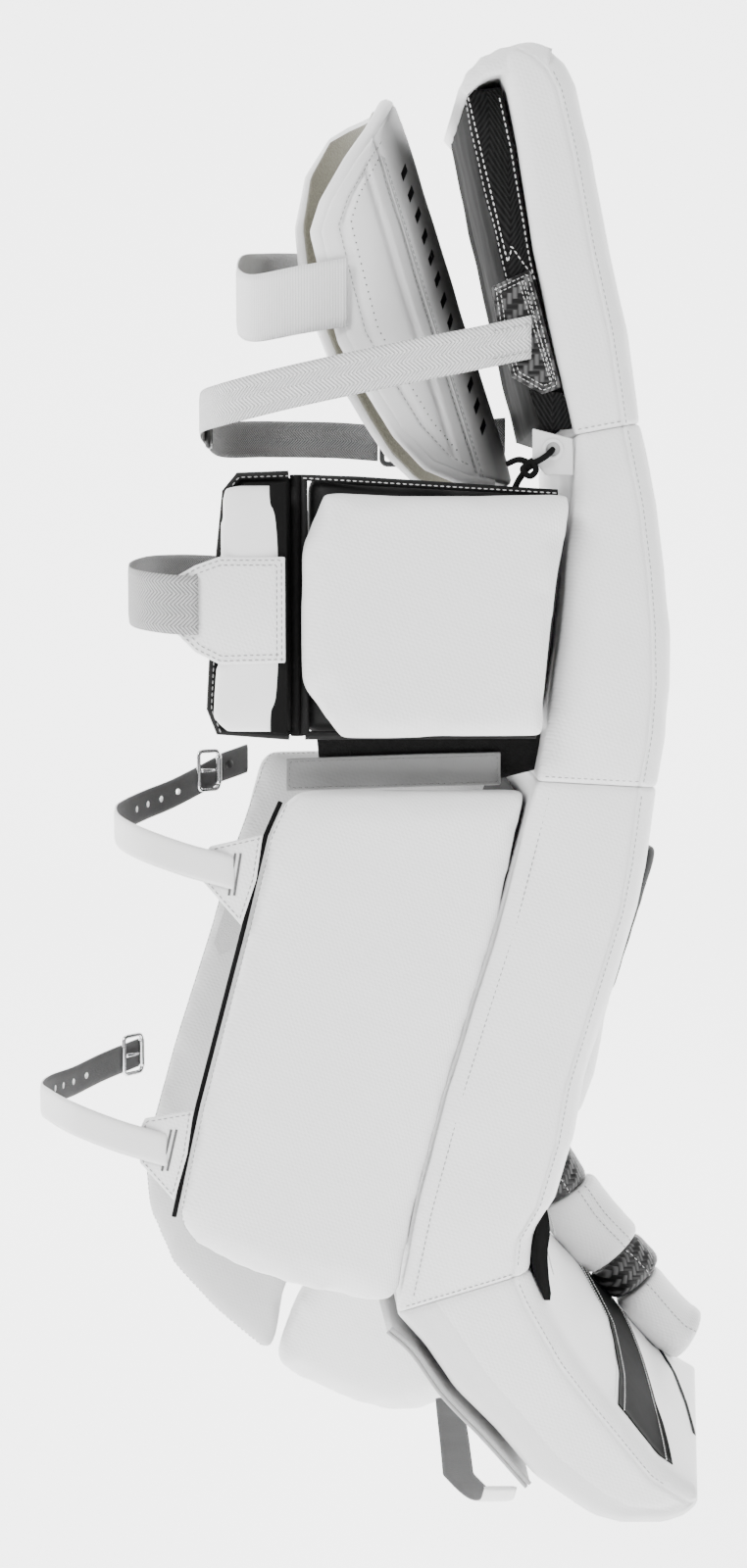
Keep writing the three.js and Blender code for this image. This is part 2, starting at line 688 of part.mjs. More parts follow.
const plasticHeight = webWidth + 8;
const plasticThickness = 4;
const lockLength = 26;
function ladderLock() {
  const shape = ringShape(lockLength, plasticHeight, plasticThickness);
  const station = strapStation(webPath, 1);
  const middle = along(station, lockLength / 2 + stitchGap);
  const lock = onStrap(shape, plasticThickness, middle, station, -plasticThickness / 2);
  add('thigh_strap_buckle', lock, 'plastic');
  const [x, y] = along(station, lockLength + 2 * stitchGap);
  const stub = [[x, y, 112], [x + 26, y + 1, 114], [82, side - 14, 118]];
  add('thigh_strap_stub', strap(stub, webThickness, webWidth, 8), 'webbing');
}
ladderLock();

const sliderLength = 18;
const sliderShare = 0.58;
function webSlider() {
  const station = strapStation(webPath, sliderShare);
  const shape = ringShape(sliderLength, plasticHeight, plasticThickness);
  const away = webThickness / 2 + clearance;
  const middle = [station.at.x, station.at.y];
  const slider = onStrap(shape, plasticThickness, middle, station, away);
  add('thigh_strap_slider', slider, 'plastic');
}
webSlider();

// The lace that ties the guard's foot to the knee section, through the tab's hole
const laceY = -coreSide + 5;
const laceLine = [
  new THREE.Vector3(79.5, laceY + 38, up(83)),
  new THREE.Vector3(84, laceY + 24, up(84)),
  new THREE.Vector3(90, laceY + 10, up(91)),
  new THREE.Vector3(laceHole.x, laceY - 2, laceHole.y),
];
add('guard_lace', roundTube(laceLine, laceDiameter / 2, 8, 10), 'black');

export default pad;
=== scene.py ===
# Ice hockey goalie leg pad: covers, straps, stitching and hardware on the CAD frame.
# Points are in millimetres in the CAD frame and become metres when a mesh is made.
import math

import bmesh
import bpy
import numpy as np
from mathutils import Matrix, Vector, noise
from mathutils.bvhtree import BVHTree


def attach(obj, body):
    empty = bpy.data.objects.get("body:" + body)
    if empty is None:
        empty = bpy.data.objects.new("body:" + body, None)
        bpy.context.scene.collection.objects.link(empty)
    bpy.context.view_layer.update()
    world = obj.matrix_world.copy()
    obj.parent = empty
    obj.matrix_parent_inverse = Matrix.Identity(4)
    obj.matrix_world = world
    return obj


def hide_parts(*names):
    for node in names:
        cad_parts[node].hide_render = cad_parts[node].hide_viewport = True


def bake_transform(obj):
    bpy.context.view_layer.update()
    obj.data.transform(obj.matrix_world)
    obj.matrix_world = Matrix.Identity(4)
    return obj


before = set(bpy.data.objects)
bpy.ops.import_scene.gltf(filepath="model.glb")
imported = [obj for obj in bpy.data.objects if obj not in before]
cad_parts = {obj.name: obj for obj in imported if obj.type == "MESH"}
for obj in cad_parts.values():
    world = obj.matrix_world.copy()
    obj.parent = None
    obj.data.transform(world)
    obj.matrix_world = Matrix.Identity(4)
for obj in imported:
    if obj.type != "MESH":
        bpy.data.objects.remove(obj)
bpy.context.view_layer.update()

MM = 0.001
SIDE = 140.0
COLLECTION = bpy.context.scene.collection


# ---------------------------------------------------------------- camera and stage
def make_camera():
    data = bpy.data.cameras.new("camera")
    data.sensor_fit = "VERTICAL"
    data.sensor_height = 36.0
    data.lens = 48.5
    data.clip_end = 30.0
    camera = bpy.data.objects.new("camera", data)
    COLLECTION.objects.link(camera)
    tilt = math.radians(5.4)
    reach = 1250.0
    camera.location = Vector((-11.0, -SIDE - reach * math.cos(tilt), -104.4 + reach * math.sin(tilt))) * MM
    camera.rotation_euler = (math.pi / 2 - tilt, 0.0, 0.0)
    bpy.context.scene.camera = camera


make_camera()


def area_light(name, place, size, power, target=(0.0, 0.0, -0.1)):
    data = bpy.data.lights.new(name, "AREA")
    data.shape = "RECTANGLE"
    data.size = size[0]
    data.size_y = size[1]
    data.energy = power
    light = bpy.data.objects.new(name, data)
    light.location = place
    aim = Vector(target) - Vector(place)
    light.rotation_euler = aim.to_track_quat("-Z", "Y").to_euler()
    COLLECTION.objects.link(light)


area_light("key", (-1.9, -2.3, 2.3), (1.3, 1.3), 150)
area_light("fill", (2.4, -2.2, 0.6), (1.6, 2.2), 34)
area_light("top", (0.2, 0.4, 2.6), (2.0, 1.4), 46)
area_light("back_left", (-2.6, 1.0, 0.6), (1.2, 2.0), 22)
area_light("back_right", (2.6, 1.6, 0.8), (1.2, 2.0), 22)


# ---------------------------------------------------------------- node helpers
class Graph:
    def __init__(self, tree):
        self.tree = tree

    def node(self, kind, **settings):
        made = self.tree.nodes.new(kind)
        for key, value in settings.items():
            setattr(made, key, value)
        return made

    def join(self, source, target):
        self.tree.links.new(source, target)

    def put(self, socket, value):
        if isinstance(value, bpy.types.NodeSocket):
            self.join(value, socket)
        else:
            socket.default_value = value

    def math(self, operation, first, second=0.0, third=None):
        made = self.node("ShaderNodeMath", operation=operation)
        self.put(made.inputs[0], first)
        self.put(made.inputs[1], second)
        if third is not None:
            self.put(made.inputs[2], third)
        return made.outputs[0]

    def mix(self, share, first, second):
        made = self.node("ShaderNodeMix", data_type="RGBA")
        self.put(made.inputs[0], share)
        self.put(made.inputs[6], first)
        self.put(made.inputs[7], second)
        return made.outputs[2]

    def group(self, name, **inputs):
        made = self.node("ShaderNodeGroup", node_tree=bpy.data.node_groups[name])
        for key, value in inputs.items():
            self.put(made.inputs[key.replace("_", " ")], value)
        return made

    def split(self, vector):
        made = self.node("ShaderNodeSeparateXYZ")
        self.join(vector, made.inputs[0])
        return made.outputs


def new_group(name, inputs, outputs):
    tree = bpy.data.node_groups.new(name, "ShaderNodeTree")
    for label, kind, value in inputs:
        made = tree.interface.new_socket(name=label, in_out="INPUT", socket_type=kind)
        if value is not None:
            made.default_value = value
    for label, kind in outputs:
        tree.interface.new_socket(name=label, in_out="OUTPUT", socket_type=kind)
    g = Graph(tree)
    return g, g.node("NodeGroupInput").outputs, g.node("NodeGroupOutput").inputs


VECTOR = "NodeSocketVector"
FLOAT = "NodeSocketFloat"


def build_soft_wear():
    """Broad, faint unevenness of tone, and fine scuffs."""
    g, given, result = new_group(
        "Soft Wear", [("Vector", VECTOR, None), ("Size", FLOAT, 9.0)], [("Tone", FLOAT), ("Scuff", FLOAT)]
    )
    broad = g.node("ShaderNodeTexNoise")
    broad.inputs["Detail"].default_value = 4.0
    g.join(given["Vector"], broad.inputs["Vector"])
    g.join(given["Size"], broad.inputs["Scale"])
    fine = g.node("ShaderNodeTexNoise")
    fine.inputs["Detail"].default_value = 6.0
    fine.inputs["Roughness"].default_value = 0.7
    g.join(given["Vector"], fine.inputs["Vector"])
    g.put(fine.inputs["Scale"], g.math("MULTIPLY", given["Size"], 14.0))
    scuff = g.math("MULTIPLY", g.math("SUBTRACT", fine.outputs[0], 0.56), 4.0)
    g.join(broad.outputs[0], result["Tone"])
    g.put(result["Scuff"], g.math("MINIMUM", g.math("MAXIMUM", scuff, 0.0), 1.0))


def build_leather_grain():
    """Small rounded grain cells with soft creases."""
    g, given, result = new_group(
        "Leather Grain", [("Vector", VECTOR, None), ("Scale", FLOAT, 600.0)], [("Height", FLOAT)]
    )
    cells = g.node("ShaderNodeTexVoronoi", feature="SMOOTH_F1")
    cells.inputs["Smoothness"].default_value = 0.6
    g.join(given["Vector"], cells.inputs["Vector"])
    g.join(given["Scale"], cells.inputs["Scale"])
    soft = g.node("ShaderNodeTexNoise")
    g.join(given["Vector"], soft.inputs["Vector"])
    g.put(soft.inputs["Scale"], g.math("MULTIPLY", given["Scale"], 0.12))
    g.put(result["Height"], g.math("MULTIPLY_ADD", cells.outputs[0], -0.7, soft.outputs[0]))


def build_fine_weave():
    """A small diagonal weave: raised dashes in two directions."""
    g, given, result = new_group(
        "Fine Weave",
        [("Across", FLOAT, 0.0), ("Along", FLOAT, 0.0), ("Pitch", FLOAT, 0.003)],
        [("Height", FLOAT)],
    )
    turn = math.pi * 2
    u = g.math("MULTIPLY", g.math("DIVIDE", given["Across"], given["Pitch"]), turn)
    v = g.math("MULTIPLY", g.math("DIVIDE", given["Along"], given["Pitch"]), turn)
    rise = g.math("SINE", g.math("ADD", u, v))
    fall = g.math("SINE", g.math("MULTIPLY", g.math("SUBTRACT", u, v), 0.5))
    g.put(result["Height"], g.math("MULTIPLY_ADD", g.math("MULTIPLY", rise, fall), 0.5, 0.5))


def build_chevron():
    """Slanted ribs that turn back at each band, as in herringbone webbing."""
    g, given, result = new_group(
        "Chevron Weave",
        [("Across", FLOAT, 0.0), ("Along", FLOAT, 0.0), ("Pitch", FLOAT, 0.002), ("Band", FLOAT, 0.01),
         ("Slant", FLOAT, 1.0)],
        [("Height", FLOAT), ("Gap", FLOAT)],
    )
    folded = g.math("PINGPONG", given["Across"], given["Band"])
    path = g.math("MULTIPLY_ADD", folded, given["Slant"], given["Along"])
    turn = math.pi * 2
    wave = g.math("SINE", g.math("MULTIPLY", g.math("DIVIDE", path, given["Pitch"]), turn))
    cross = g.math("SINE", g.math("MULTIPLY", g.math("DIVIDE", given["Across"], given["Pitch"]), turn))
    height = g.math("MULTIPLY_ADD", wave, 0.4, 0.5)
    g.put(result["Height"], g.math("MULTIPLY_ADD", cross, 0.1, height))
    # Groove Shade marks the grooves between the ribs, for painting shade into them.
    g.put(result["Gap"], g.math("LESS_THAN", wave, -0.55))


def build_carbon():
    """Two by two twill of flat tows: which way a tow runs, and its rounded height."""
    g, given, result = new_group(
        "Carbon Twill",
        [("Across", FLOAT, 0.0), ("Along", FLOAT, 0.0), ("Tow", FLOAT, 0.003)],
        [("Warp", FLOAT), ("Height", FLOAT)],
    )
    u = g.math("DIVIDE", given["Across"], given["Tow"])
    v = g.math("DIVIDE", given["Along"], given["Tow"])
    step = g.math("SUBTRACT", g.math("FLOOR", u), g.math("FLOOR", v))
    warp = g.math("LESS_THAN", g.math("FLOORED_MODULO", step, 4.0), 2.0)
    arch_u = g.math("SINE", g.math("MULTIPLY", g.math("FRACT", u), math.pi))
    arch_v = g.math("SINE", g.math("MULTIPLY", g.math("FRACT", v), math.pi))
    weft = g.math("MULTIPLY", g.math("SUBTRACT", 1.0, warp), arch_v)
    g.put(result["Height"], g.math("MULTIPLY_ADD", warp, arch_u, weft))
    g.put(result["Warp"], warp)


build_soft_wear()
build_leather_grain()
build_fine_weave()
build_chevron()
build_carbon()


# ---------------------------------------------------------------- materials
class Finish(Graph):
    """A material on its way: coordinates, and a chain of bumps into one shader."""

    def __init__(self, name):
        self.material = bpy.data.materials.new(name)
        self.material.use_nodes = True
        super().__init__(self.material.node_tree)
        self.shader = self.material.node_tree.nodes["Principled BSDF"]
        self.place = self.node("ShaderNodeTexCoord").outputs["Object"]
        x, y, z = self.split(self.place)[:3]
        self.across = self.math("ADD", x, y)
        self.along = z
        self.bumps = None

    def use_strap_axes(self):
        uv = self.node("ShaderNodeUVMap", uv_map="strap").outputs[0]
        self.along, self.across = self.split(uv)[:2]

    def bump(self, height, depth):
        made = self.node("ShaderNodeBump")
        made.inputs["Strength"].default_value = 1.0
        made.inputs["Distance"].default_value = depth * MM
        self.join(height, made.inputs["Height"])
        if self.bumps:
            self.join(self.bumps, made.inputs["Normal"])
        self.bumps = made.outputs[0]
        self.join(self.bumps, self.shader.inputs["Normal"])

    def set(self, **values):
        for key, value in values.items():
            self.put(self.shader.inputs[key.replace("_", " ")], value)


def rgb(level, tint=(1.0, 1.0, 1.0)):
    return (level * tint[0], level * tint[1], level * tint[2], 1.0)


def worn(finish, light, dark, rough, spread=0.12, size=9.0):
    """Tone and roughness that drift between two values, with fine scuffs."""
    wear = finish.group("Soft Wear", Vector=finish.place, Size=size)
    broad = finish.math("MULTIPLY", wear.outputs["Tone"], 0.7)
    tone = finish.math("MULTIPLY_ADD", wear.outputs["Scuff"], 0.4, broad)
    colour = finish.mix(tone, light, dark)
    finish.set(Base_Color=colour, Roughness=finish.math("MULTIPLY_ADD", wear.outputs["Tone"], spread, rough))
    return colour


def cover(name, light, dark, rough, weave=0.0, pitch=0.0036, grain=0.05, soft=0.5, shine=0.5):
    """Synthetic leather: an embossed weave over a fine grain, on slightly uneven foam."""
    f = Finish(name)
    worn(f, light, dark, rough)
    swell = f.node("ShaderNodeTexNoise")
    swell.inputs["Scale"].default_value = 34.0
    swell.inputs["Detail"].default_value = 3.0
    f.join(f.place, swell.inputs["Vector"])
    f.bump(swell.outputs[0], soft)
    if weave:
        f.bump(f.group("Fine Weave", Across=f.across, Along=f.along, Pitch=pitch * 1.0).outputs[0], weave)
    f.bump(f.group("Leather Grain", Vector=f.place, Scale=700.0).outputs[0], grain)
    f.shader.inputs["Specular IOR Level"].default_value = shine
    f.shader.inputs["Coat Weight"].default_value = 0.12 * shine
    f.shader.inputs["Coat Roughness"].default_value = 0.45
    return f.material


white = cover("white_twill", rgb(0.83), rgb(0.76), 0.42, weave=0.16)
smooth_white = cover("white_smooth", rgb(0.85), rgb(0.79), 0.38, weave=0.0, grain=0.04, soft=0.35)
grey = cover("grey_twill", rgb(0.54), rgb(0.46), 0.5, weave=0.16)
mid_grey = cover("mid_grey", rgb(0.34), rgb(0.26), 0.5, weave=0.06)
pale = cover("pale_grey", rgb(0.74), rgb(0.66), 0.48, weave=0.06)
edge_black = cover(
    "black_cover", rgb(0.006), rgb(0.014), 0.5, weave=0.05, pitch=0.002, soft=0.8, shine=0.12)
black_smooth = cover("black_smooth", rgb(0.005), rgb(0.012), 0.6, soft=0.5, shine=0.02)


def make_ribbed():
    f = Finish("black_ribbed")
    weave = f.group("Chevron Weave", Across=f.across, Along=f.along, Pitch=0.0042, Band=0.012, Slant=1.6)
    # Painted shade: the rib tops are coloured lighter and the grooves between the ribs darker.
    light = f.mix(weave.outputs["Height"], rgb(0.003), rgb(0.018))
    wear = f.group("Soft Wear", Vector=f.place, Size=16.0)
    f.set(Base_Color=f.mix(f.math("MULTIPLY", wear.outputs["Tone"], 0.5), light, rgb(0.006)), Roughness=0.7)
    f.bump(wear.outputs["Tone"], 1.4)
    f.bump(weave.outputs["Height"], 0.55)
    f.shader.inputs["Specular IOR Level"].default_value = 0.03
    f.shader.inputs["Sheen Weight"].default_value = 0.005
    return f.material


def make_carbon():
    f = Finish("carbon_twill")
    weave = f.group("Carbon Twill", Across=f.across, Along=f.along, Tow=0.0032)
    # Painted reflection and shade: the warp tows are painted lighter than the weft, as light catches them,
    # and each rounded tow is painted darker towards its edges.
    shine = f.mix(weave.outputs["Warp"], rgb(0.006), rgb(0.09))
    depth = f.mix(weave.outputs["Height"], rgb(0.008), shine)
    wear = f.group("Soft Wear", Vector=f.place, Size=20.0)
    f.set(Base_Color=depth, Roughness=f.math("MULTIPLY_ADD", wear.outputs["Tone"], 0.2, 0.22))
    f.bump(weave.outputs["Height"], 0.3)
    f.shader.inputs["Specular IOR Level"].default_value = 0.35
    f.shader.inputs["Coat Weight"].default_value = 0.1
    f.shader.inputs["Coat Roughness"].default_value = 0.3
    return f.material


def make_leather(name, light, dark, rough, grain):
    f = Finish(name)
    f.use_strap_axes()
    worn(f, light, dark, rough, size=30.0)
    f.bump(f.group("Leather Grain", Vector=f.place, Scale=900.0).outputs[0], grain)
    return f.material


def make_webbing(name, light, dark, pitch, band, slant, depth):
    f = Finish(name)
    f.use_strap_axes()
    weave = f.group("Chevron Weave", Across=f.across, Along=f.along, Pitch=pitch, Band=band, Slant=slant)
    wear = f.group("Soft Wear", Vector=f.place, Size=40.0)
    # Painted shade: the grooves between the ribs are coloured towards the dark colour.
    base = f.mix(weave.outputs["Gap"], light, dark)
    f.set(Base_Color=f.mix(f.math("MULTIPLY", wear.outputs["Scuff"], 0.3), base, dark), Roughness=0.8)
    f.bump(weave.outputs["Height"], depth)
    f.shader.inputs["Sheen Weight"].default_value = 0.2
    return f.material


def make_fuzz(name, light, dark, size, depth, sheen=0.3):
    """Brushed lining and loop fabric."""
    f = Finish(name)
    wear = f.group("Soft Wear", Vector=f.place, Size=size)
    fibre = f.node("ShaderNodeTexNoise")
    fibre.inputs["Scale"].default_value = 900.0
    fibre.inputs["Detail"].default_value = 5.0
    f.join(f.place, fibre.inputs["Vector"])
    mixed = f.math("MULTIPLY_ADD", fibre.outputs[0], 0.7, f.math("MULTIPLY", wear.outputs["Tone"], 0.3))
    f.set(Base_Color=f.mix(mixed, dark, light), Roughness=0.95)
    f.bump(fibre.outputs[0], depth)
    f.shader.inputs["Specular IOR Level"].default_value = 0.25
    f.shader.inputs["Sheen Weight"].default_value = sheen
    f.shader.inputs["Sheen Roughness"].default_value = 0.6
    return f.material


def make_plastic():
    f = Finish("black_plastic")
    worn(f, rgb(0.014), rgb(0.03), 0.3, size=30.0)
    f.bump(f.group("Leather Grain", Vector=f.place, Scale=1600.0).outputs[0], 0.03)
    return f.material


def make_chrome():
    f = Finish("chrome_steel")
    worn(f, rgb(0.78, (1.0, 1.0, 1.02)), rgb(0.6), 0.08, spread=0.16, size=60.0)
    f.set(Metallic=1.0)
    f.bump(f.group("Leather Grain", Vector=f.place, Scale=500.0).outputs[0], 0.02)
    return f.material


def make_thread(name, light, dark):
    f = Finish(name)
    twist = f.math("SINE", f.math("MULTIPLY", f.math("ADD", f.across, f.along), 5200.0))
    # Painted shade: the thread is coloured darker in bands between its twisted plies.
    f.set(Base_Color=f.mix(f.math("MULTIPLY_ADD", twist, 0.5, 0.5), dark, light), Roughness=0.6)
    f.bump(twist, 0.08)
    return f.material


def make_guard_cap():
    """Smooth cover, pale at its near edge and dark at the front: partly the cover's own darker tone, partly
    painted shade where the rounded cap turns away from the light.
    """
    f = Finish("guard_cap_fade")
    y = f.split(f.place)[1]
    share = f.math("MULTIPLY_ADD", y, 17.0, 1.28)
    # The ramp's dark end is partly painted shade on the rounded cap.
    ramp = f.node("ShaderNodeValToRGB")
    ramp.color_ramp.elements[0].position = 0.0
    ramp.color_ramp.elements[0].color = rgb(0.72)
    ramp.color_ramp.elements[1].position = 1.0
    ramp.color_ramp.elements[1].color = rgb(0.035)
    middle = ramp.color_ramp.elements.new(0.3)
    middle.color = rgb(0.2)
    f.join(share, ramp.inputs[0])
    wear = f.group("Soft Wear", Vector=f.place, Size=12.0)
    f.set(Base_Color=f.mix(f.math("MULTIPLY", wear.outputs["Scuff"], 0.15), ramp.outputs[0], rgb(0.3)))
    f.set(Roughness=f.math("MULTIPLY_ADD", wear.outputs["Tone"], 0.15, 0.28))
    f.bump(f.group("Leather Grain", Vector=f.place, Scale=900.0).outputs[0], 0.03)
    return f.material


def make_floor():
    f = Finish("studio_white")
    wear = f.group("Soft Wear", Vector=f.place, Size=1.0)
    f.set(Base_Color=f.mix(wear.outputs["Tone"], rgb(0.9), rgb(0.88)), Roughness=0.8)
    f.shader.inputs["Emission Color"].default_value = rgb(1.0)
    f.shader.inputs["Emission Strength"].default_value = 2.6
    return f.material


ribbed = make_ribbed()
carbon = make_carbon()
leather_out = make_leather("strap_leather", rgb(0.8), rgb(0.7, (1.0, 0.99, 0.97)), 0.45, 0.1)
leather_in = make_leather("strap_suede", rgb(0.09), rgb(0.05), 0.85, 0.25)
web_white = make_webbing("web_white", rgb(0.74), rgb(0.34), 0.0024, 0.0062, 1.0, 0.6)
web_mid = make_webbing("web_mid", rgb(0.45), rgb(0.16), 0.0024, 0.0062, 1.0, 0.6)
web_grey = make_webbing("web_grey", rgb(0.2), rgb(0.03), 0.0019, 0.0062, 1.0, 0.4)
elastic_out = make_webbing("elastic_rib", rgb(0.78), rgb(0.62), 0.0017, 0.5, 0.0, 0.25)
elastic_in = make_fuzz("elastic_loop", rgb(0.34), rgb(0.12), 60.0, 0.6)
nash = make_fuzz("nash_lining", rgb(0.2, (1.0, 0.96, 0.74)), rgb(0.07, (1.0, 0.94, 0.68)), 30.0, 0.8)
felt = make_fuzz("felt_patch", rgb(0.55), rgb(0.36), 40.0, 0.6)
black_lining = make_fuzz("black_lining", rgb(0.014), rgb(0.005), 30.0, 0.7, 0.05)
plastic = make_plastic()
chrome = make_chrome()
thread_white = make_thread("thread_white", rgb(0.85), rgb(0.5))
thread_pale = make_thread("thread_pale", rgb(0.42), rgb(0.2))
thread_dark = make_thread("thread_dark", rgb(0.12), rgb(0.05))
cap_tone_and_painted_shade = make_guard_cap()
studio_white = make_floor()


# ---------------------------------------------------------------- mesh helpers
def mesh_from(name, points, faces, materials, picks=None):
    """A smooth mesh from points in millimetres; picks gives each face's material."""
    mesh = bpy.data.meshes.new(name)
    mesh.from_pydata([tuple(float(c) * MM for c in p) for p in points], [], faces)
    mesh.update()
    made = bpy.data.objects.new(name, mesh)
    COLLECTION.objects.link(made)
    for material in materials:
        mesh.materials.append(material)
    if picks is not None:
        mesh.polygons.foreach_set("material_index", np.array(picks, np.int32))
    mesh.polygons.foreach_set("use_smooth", np.ones(len(mesh.polygons), bool))
    return made


def rings_to_faces(count, around, closed_ends=True, start=0):
    faces = []
    for i in range(count - 1):
        for j in range(around):
            k = (j + 1) % around
            a = start + i * around
            b = a + around
            faces.append((a + j, a + k, b + k, b + j))
    if closed_ends:
        faces.append(tuple(start + j for j in reversed(range(around))))
        last = start + (count - 1) * around
        faces.append(tuple(last + j for j in range(around)))
    return faces


def lengths(points):
    steps = np.linalg.norm(np.diff(points, axis=0), axis=1)
    return np.concatenate([[0.0], np.cumsum(steps)])


def along_line(points, shares):
    """Points at shares of a polyline's length."""
    points = np.array(points, float)
    far = lengths(points)
    at = np.clip(np.array(shares, float), 0, 1) * far[-1]
    return np.stack([np.interp(at, far, points[:, k]) for k in range(points.shape[1])], axis=1)


def spline(points, count):
    """A smooth curve through points, cut into equal steps."""
    p = np.array(points, float)
    ends = np.vstack([2 * p[0] - p[1], p, 2 * p[-1] - p[-2]])
    out = []
    for i in range(1, len(ends) - 2):
        a, b, c, d = ends[i - 1 : i + 3]
        for k in range(24):
            t = k / 24
            out.append(0.5 * (2 * b + (c - a) * t + (2 * a - 5 * b + 4 * c - d) * t**2
                              + (3 * b - a - 3 * c + d) * t**3))
    out.append(ends[-2])
    return along_line(np.array(out), np.linspace(0, 1, count))


def join_objects(name, parts):
    """One object from several, keeping their materials."""
    parts = [p for p in parts if p is not None]
    bpy.ops.object.select_all(action="DESELECT")
    for part in parts:
        part.select_set(True)
    bpy.context.view_layer.objects.active = parts[0]
    if len(parts) > 1:
        bpy.ops.object.join()
    made = bpy.context.view_layer.objects.active
    made.name = name
    return made


def bake(obj):
    """Replaces an object's mesh with what its modifiers make, and removes them."""
    bpy.context.view_layer.update()
    graph = bpy.context.evaluated_depsgraph_get()
    mesh = bpy.data.meshes.new_from_object(obj.evaluated_get(graph), depsgraph=graph)
    if obj.type == "MESH":
        obj.modifiers.clear()
        obj.data = mesh
        return obj
    made = bpy.data.objects.new(obj.name + "_mesh", mesh)
    COLLECTION.objects.link(made)
    bpy.data.objects.remove(obj)
    return made


def subdivide(obj, levels=1):
    modifier = obj.modifiers.new("smooth", "SUBSURF")
    modifier.levels = levels
    modifier.render_levels = levels
    return bake(obj)


def coordinates(obj):
    co = np.zeros(len(obj.data.vertices) * 3)
    obj.data.vertices.foreach_get("co", co)
    return co.reshape(-1, 3)


def set_coordinates(obj, co):
    obj.data.vertices.foreach_set("co", np.asarray(co, float).ravel())
    obj.data.update()


def outline_prism(name, points, low, high, material, rounding=7.0, rule=None):
    """An outline in X and Z, thick along Y from low to high, with rounded edges."""
    tool = bmesh.new()
    floor = [tool.verts.new((x * MM, low * MM, z * MM)) for x, z in points]
    roof = [tool.verts.new((x * MM, high * MM, z * MM)) for x, z in points]
    count = len(points)
    for i in range(count):
        j = (i + 1) % count
        tool.faces.new((floor[i], floor[j], roof[j], roof[i]))
    tool.faces.new(floor[::-1])
    tool.faces.new(roof)
    bmesh.ops.recalc_face_normals(tool, faces=tool.faces)
    if rounding:
        bmesh.ops.bevel(tool, geom=tool.edges[:] + tool.verts[:], offset=rounding * MM, segments=3,
                        profile=0.5, affect="EDGES", clamp_overlap=True)
    mesh = bpy.data.meshes.new(name)
    tool.to_mesh(mesh)
    tool.free()
    made = bpy.data.objects.new(name, mesh)
    COLLECTION.objects.link(made)
    mesh.materials.append(material)
    if rule:
        co = coordinates(made) / MM
        set_coordinates(made, np.array([rule(p) for p in co]) * MM)
    return made


def stuff(obj, voxel=5.0, pressure=4.0, cap=7.0):
    """Fills a cover with cloth simulation: remesh, swell under pressure, cap the swell."""
    material = obj.data.materials[0]
    remesh = obj.modifiers.new("remesh", "REMESH")
    remesh.mode = "VOXEL"
    remesh.voxel_size = voxel * MM
    remesh.use_smooth_shade = True
    bake(obj)
    start = coordinates(obj)
    cloth = obj.modifiers.new("cloth", "CLOTH")
    settings = cloth.settings
    settings.quality = 5
    settings.mass = 0.3
    settings.tension_stiffness = 18
    settings.compression_stiffness = 18
    settings.bending_stiffness = 0.8
    settings.use_pressure = True
    settings.uniform_pressure_force = pressure
    settings.effector_weights.gravity = 0
    scene = bpy.context.scene
    for number in range(1, 21):
        scene.frame_set(number)
    graph = bpy.context.evaluated_depsgraph_get()
    swollen = obj.evaluated_get(graph)
    co = np.zeros(len(start) * 3)
    swollen.data.vertices.foreach_get("co", co)
    shift = co.reshape(-1, 3) - start
    size = np.linalg.norm(shift, axis=1, keepdims=True)
    moved = start + shift * np.minimum(1.0, cap * MM / np.maximum(size, 1e-9))
    obj.modifiers.clear()
    scene.frame_set(1)
    set_coordinates(obj, moved)
    subdivide(obj)
    obj.data.materials.clear()
    obj.data.materials.append(material)
    obj.data.polygons.foreach_set("use_smooth", np.ones(len(obj.data.polygons), bool))
    return obj


def surface_of(*objects):
    """A tree for finding points on the given objects' surfaces."""
    points = []
    faces = []
    for obj in objects:
        base = len(points)
        points.extend(v.co.copy() for v in obj.data.vertices)
        faces.extend(tuple(base + i for i in p.vertices) for p in obj.data.polygons)
    return BVHTree.FromPolygons(points, faces)


def press_on(tree, points, direction, lift=0.3, reach=90.0):
    """Drops points (mm) onto a surface along a direction, lifted a little off it."""
    ray = Vector(direction).normalized()
    out = []
    for p in points:
        begin = Vector([c * MM for c in p]) - ray * reach * MM
        hit, normal, _, _ = tree.ray_cast(begin, ray, reach * 2.5 * MM)
        if hit is None:
            hit, normal, _, _ = tree.find_nearest(Vector([c * MM for c in p]))
        if normal.dot(ray) > 0:
            normal = -normal
        out.append(tuple((hit + normal * lift * MM) / MM))
    return out


# ---------------------------------------------------------------- geometry node groups
def geometry_group(name, sockets):
    tree = bpy.data.node_groups.new(name, "GeometryNodeTree")
    tree.interface.new_socket(name="Geometry", in_out="INPUT", socket_type="NodeSocketGeometry")
    for label, kind in sockets:
        tree.interface.new_socket(name=label, in_out="INPUT", socket_type=kind)
    tree.interface.new_socket(name="Geometry", in_out="OUTPUT", socket_type="NodeSocketGeometry")
    g = Graph(tree)
    return g, g.node("NodeGroupInput").outputs, g.node("NodeGroupOutput").inputs


